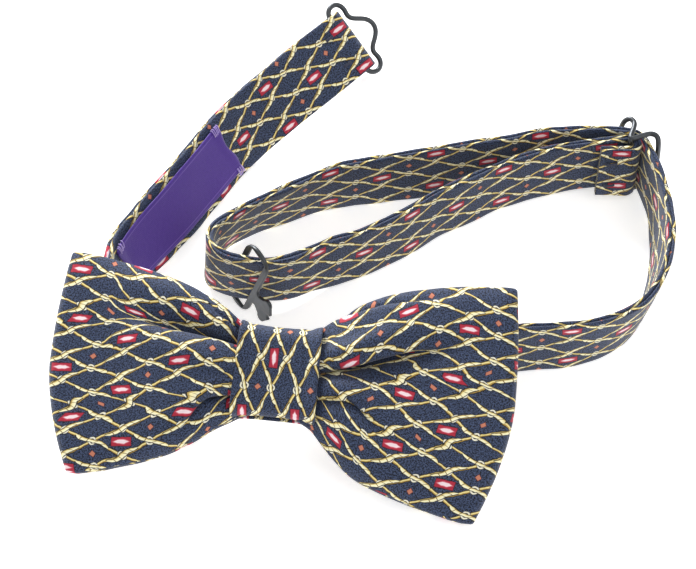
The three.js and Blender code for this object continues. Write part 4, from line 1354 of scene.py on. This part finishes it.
def woven_label():
    s = Surface("woven_label", uv="cloth", Sheen_Weight=0.3, Sheen_Roughness=0.35)
    u, v = s.split()
    rib = (v * (2 * math.pi * 2.4)).sin() * 0.5 + 0.5
    weft = (u * (2 * math.pi * 3.1)).sin() * 0.5 + 0.5
    cloth = s.mix(s.noise(2.2, 3.0, 0.7), srgb(46, 18, 104), srgb(78, 38, 156))
    cloth = s.mix(rib * weft * 0.4, cloth, srgb(104, 66, 186))
    border = abs(abs(v) - (LABEL_WIDTH / 2 - 1.1)).below(0.12, 0.1)
    cloth = s.mix(border * 0.5, cloth, srgb(126, 96, 196))
    s.colour(cloth)
    s.feed("Roughness", rib * 0.16 + 0.44)
    s.bump(rib * 0.7 + weft * 0.4 + s.noise(0.7, 2.0) * 1.5, 0.4, 0.00014)
    return s


def sewing_thread(name, low, high):
    s = Surface(name, Sheen_Weight=0.2)
    strands = s.noise(2600, 2.0, 0.6, stretch=(1, 1, 3))
    s.colour(s.mix(strands, low, high))
    s.feed("Roughness", strands * 0.3 + 0.45)
    s.bump(strands, 0.6, 0.00008)
    return s


def gunmetal():
    s = Surface("gunmetal", Metallic=0.85, Coat_Weight=0.15, Coat_Roughness=0.3)
    brushed = s.noise(900, 4.0, 0.7)
    worn = s.noise(160, 3.0, 0.6)
    tone = s.mix(worn, srgb(50, 53, 56), srgb(92, 95, 99))
    s.colour(s.mix((brushed - 0.45).op("MULTIPLY", 1.6, clamp=True), tone, srgb(70, 72, 76)))
    s.feed("Roughness", brushed * 0.25 + worn * 0.12 + 0.2)
    s.bump(brushed * 0.6 + worn, 0.25, 0.00006)
    return s


printed_cloth().on(bow, knot, band_left, band_right)
woven_label().on(label)
sewing_thread("lilac_thread", srgb(136, 108, 200), srgb(206, 186, 240)).on(*label_corners)
navy_thread = sewing_thread("navy_thread", srgb(24, 28, 46), srgb(58, 64, 92))
navy_thread.on(*ring_tacks, *slider_tacks, seam, frame["nodes"]["pinch_thread"])
gunmetal().on(ring, slider, hook)

# ---------------------------------------------------------------- camera, floor and light


CAMERA_LENS = 112.5
SENSOR_WIDTH = 36
CAMERA_AT = (45.4, -314.9, 468.1)
CAMERA_AIM = (12.85, 42.8, 0)
FLOOR_HALF = 3.0  # metres
WHITE = (1, 1, 1, 1)


def place_point(x, y, z):
    return tuple((np.array([x, y, z]) + SHIFT) * MM)


def look_at(obj, target):
    direction = Vector(target) - obj.location
    obj.rotation_mode = "QUATERNION"
    obj.rotation_quaternion = direction.to_track_quat("-Z", "Y")


camera_data = bpy.data.cameras.new("camera")
camera_data.lens, camera_data.sensor_width = CAMERA_LENS, SENSOR_WIDTH
camera = bpy.data.objects.new("camera", camera_data)
camera.location = place_point(*CAMERA_AT)
bpy.context.scene.collection.objects.link(camera)
bpy.context.scene.camera = camera
look_at(camera, place_point(*CAMERA_AIM))


def make_floor():
    s = Surface("floor", Roughness=0.9, Emission_Strength=0.55)
    s.shader.inputs["Emission Color"].default_value = WHITE
    s.colour(s.mix(s.noise(6, 2.0), srgb(250, 250, 250), srgb(246, 246, 248)))
    mesh = bpy.data.meshes.new("floor")
    corners = [(x * FLOOR_HALF, y * FLOOR_HALF, 0) for x, y in ((-1, -1), (1, -1), (1, 1), (-1, 1))]
    mesh.from_pydata(corners, [], [(0, 1, 2, 3)])
    obj = bpy.data.objects.new("floor", mesh)
    bpy.context.scene.collection.objects.link(obj)
    s.on(obj)
    return obj


def add_light(name, where, size, energy):
    """A square light that points at the origin. Its place and size are metres."""
    data = bpy.data.lights.new(name, "AREA")
    data.size, data.energy = size, energy
    obj = bpy.data.objects.new(name, data)
    obj.location = where
    bpy.context.scene.collection.objects.link(obj)
    look_at(obj, (0, 0, 0))


floor = make_floor()
add_light("key", where=(-0.4, 0.75, 0.6), size=0.45, energy=17)
add_light("fill", where=(0.7, -0.5, 1.1), size=1.0, energy=4)
world = bpy.data.worlds.new("world")
world.use_nodes = True
background = world.node_tree.nodes["Background"].inputs
background["Color"].default_value = WHITE
background["Strength"].default_value = 0.62
bpy.context.scene.world = world
bpy.context.scene.view_settings.view_transform = "Standard"

# ---------------------------------------------------------------- what moves with what

for piece in (bow, knot, seam):
    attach(piece, "bow")
for piece in (label, *label_corners, *ring_tacks):
    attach(piece, "short_strap")
for piece in slider_tacks:
    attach(piece, "long_strap")
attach(ring, "ring")
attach(slider, "slider")
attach(hook, "hook")
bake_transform(band_left)
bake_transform(band_right)

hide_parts("bow_cloth", "bow_interlining")
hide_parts("knot_wrap", "knot_interlining")
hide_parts("knot_seam_thread")
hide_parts("neckband_short_cloth", "neckband_short_interlining", "neckband_centre_cloth")
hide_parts("neckband_long_cloth", "neckband_long_interlining", "neckband_centre_interlining")
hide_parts("label")
for i in range(4):
    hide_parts(f"label_stitch_{i + 1}")
for i in range(2):
    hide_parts(f"ring_tack_{i + 1}")
    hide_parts(f"slider_tack_{i + 1}")
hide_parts("eye_ring")
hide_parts("slider")
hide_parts("hook")
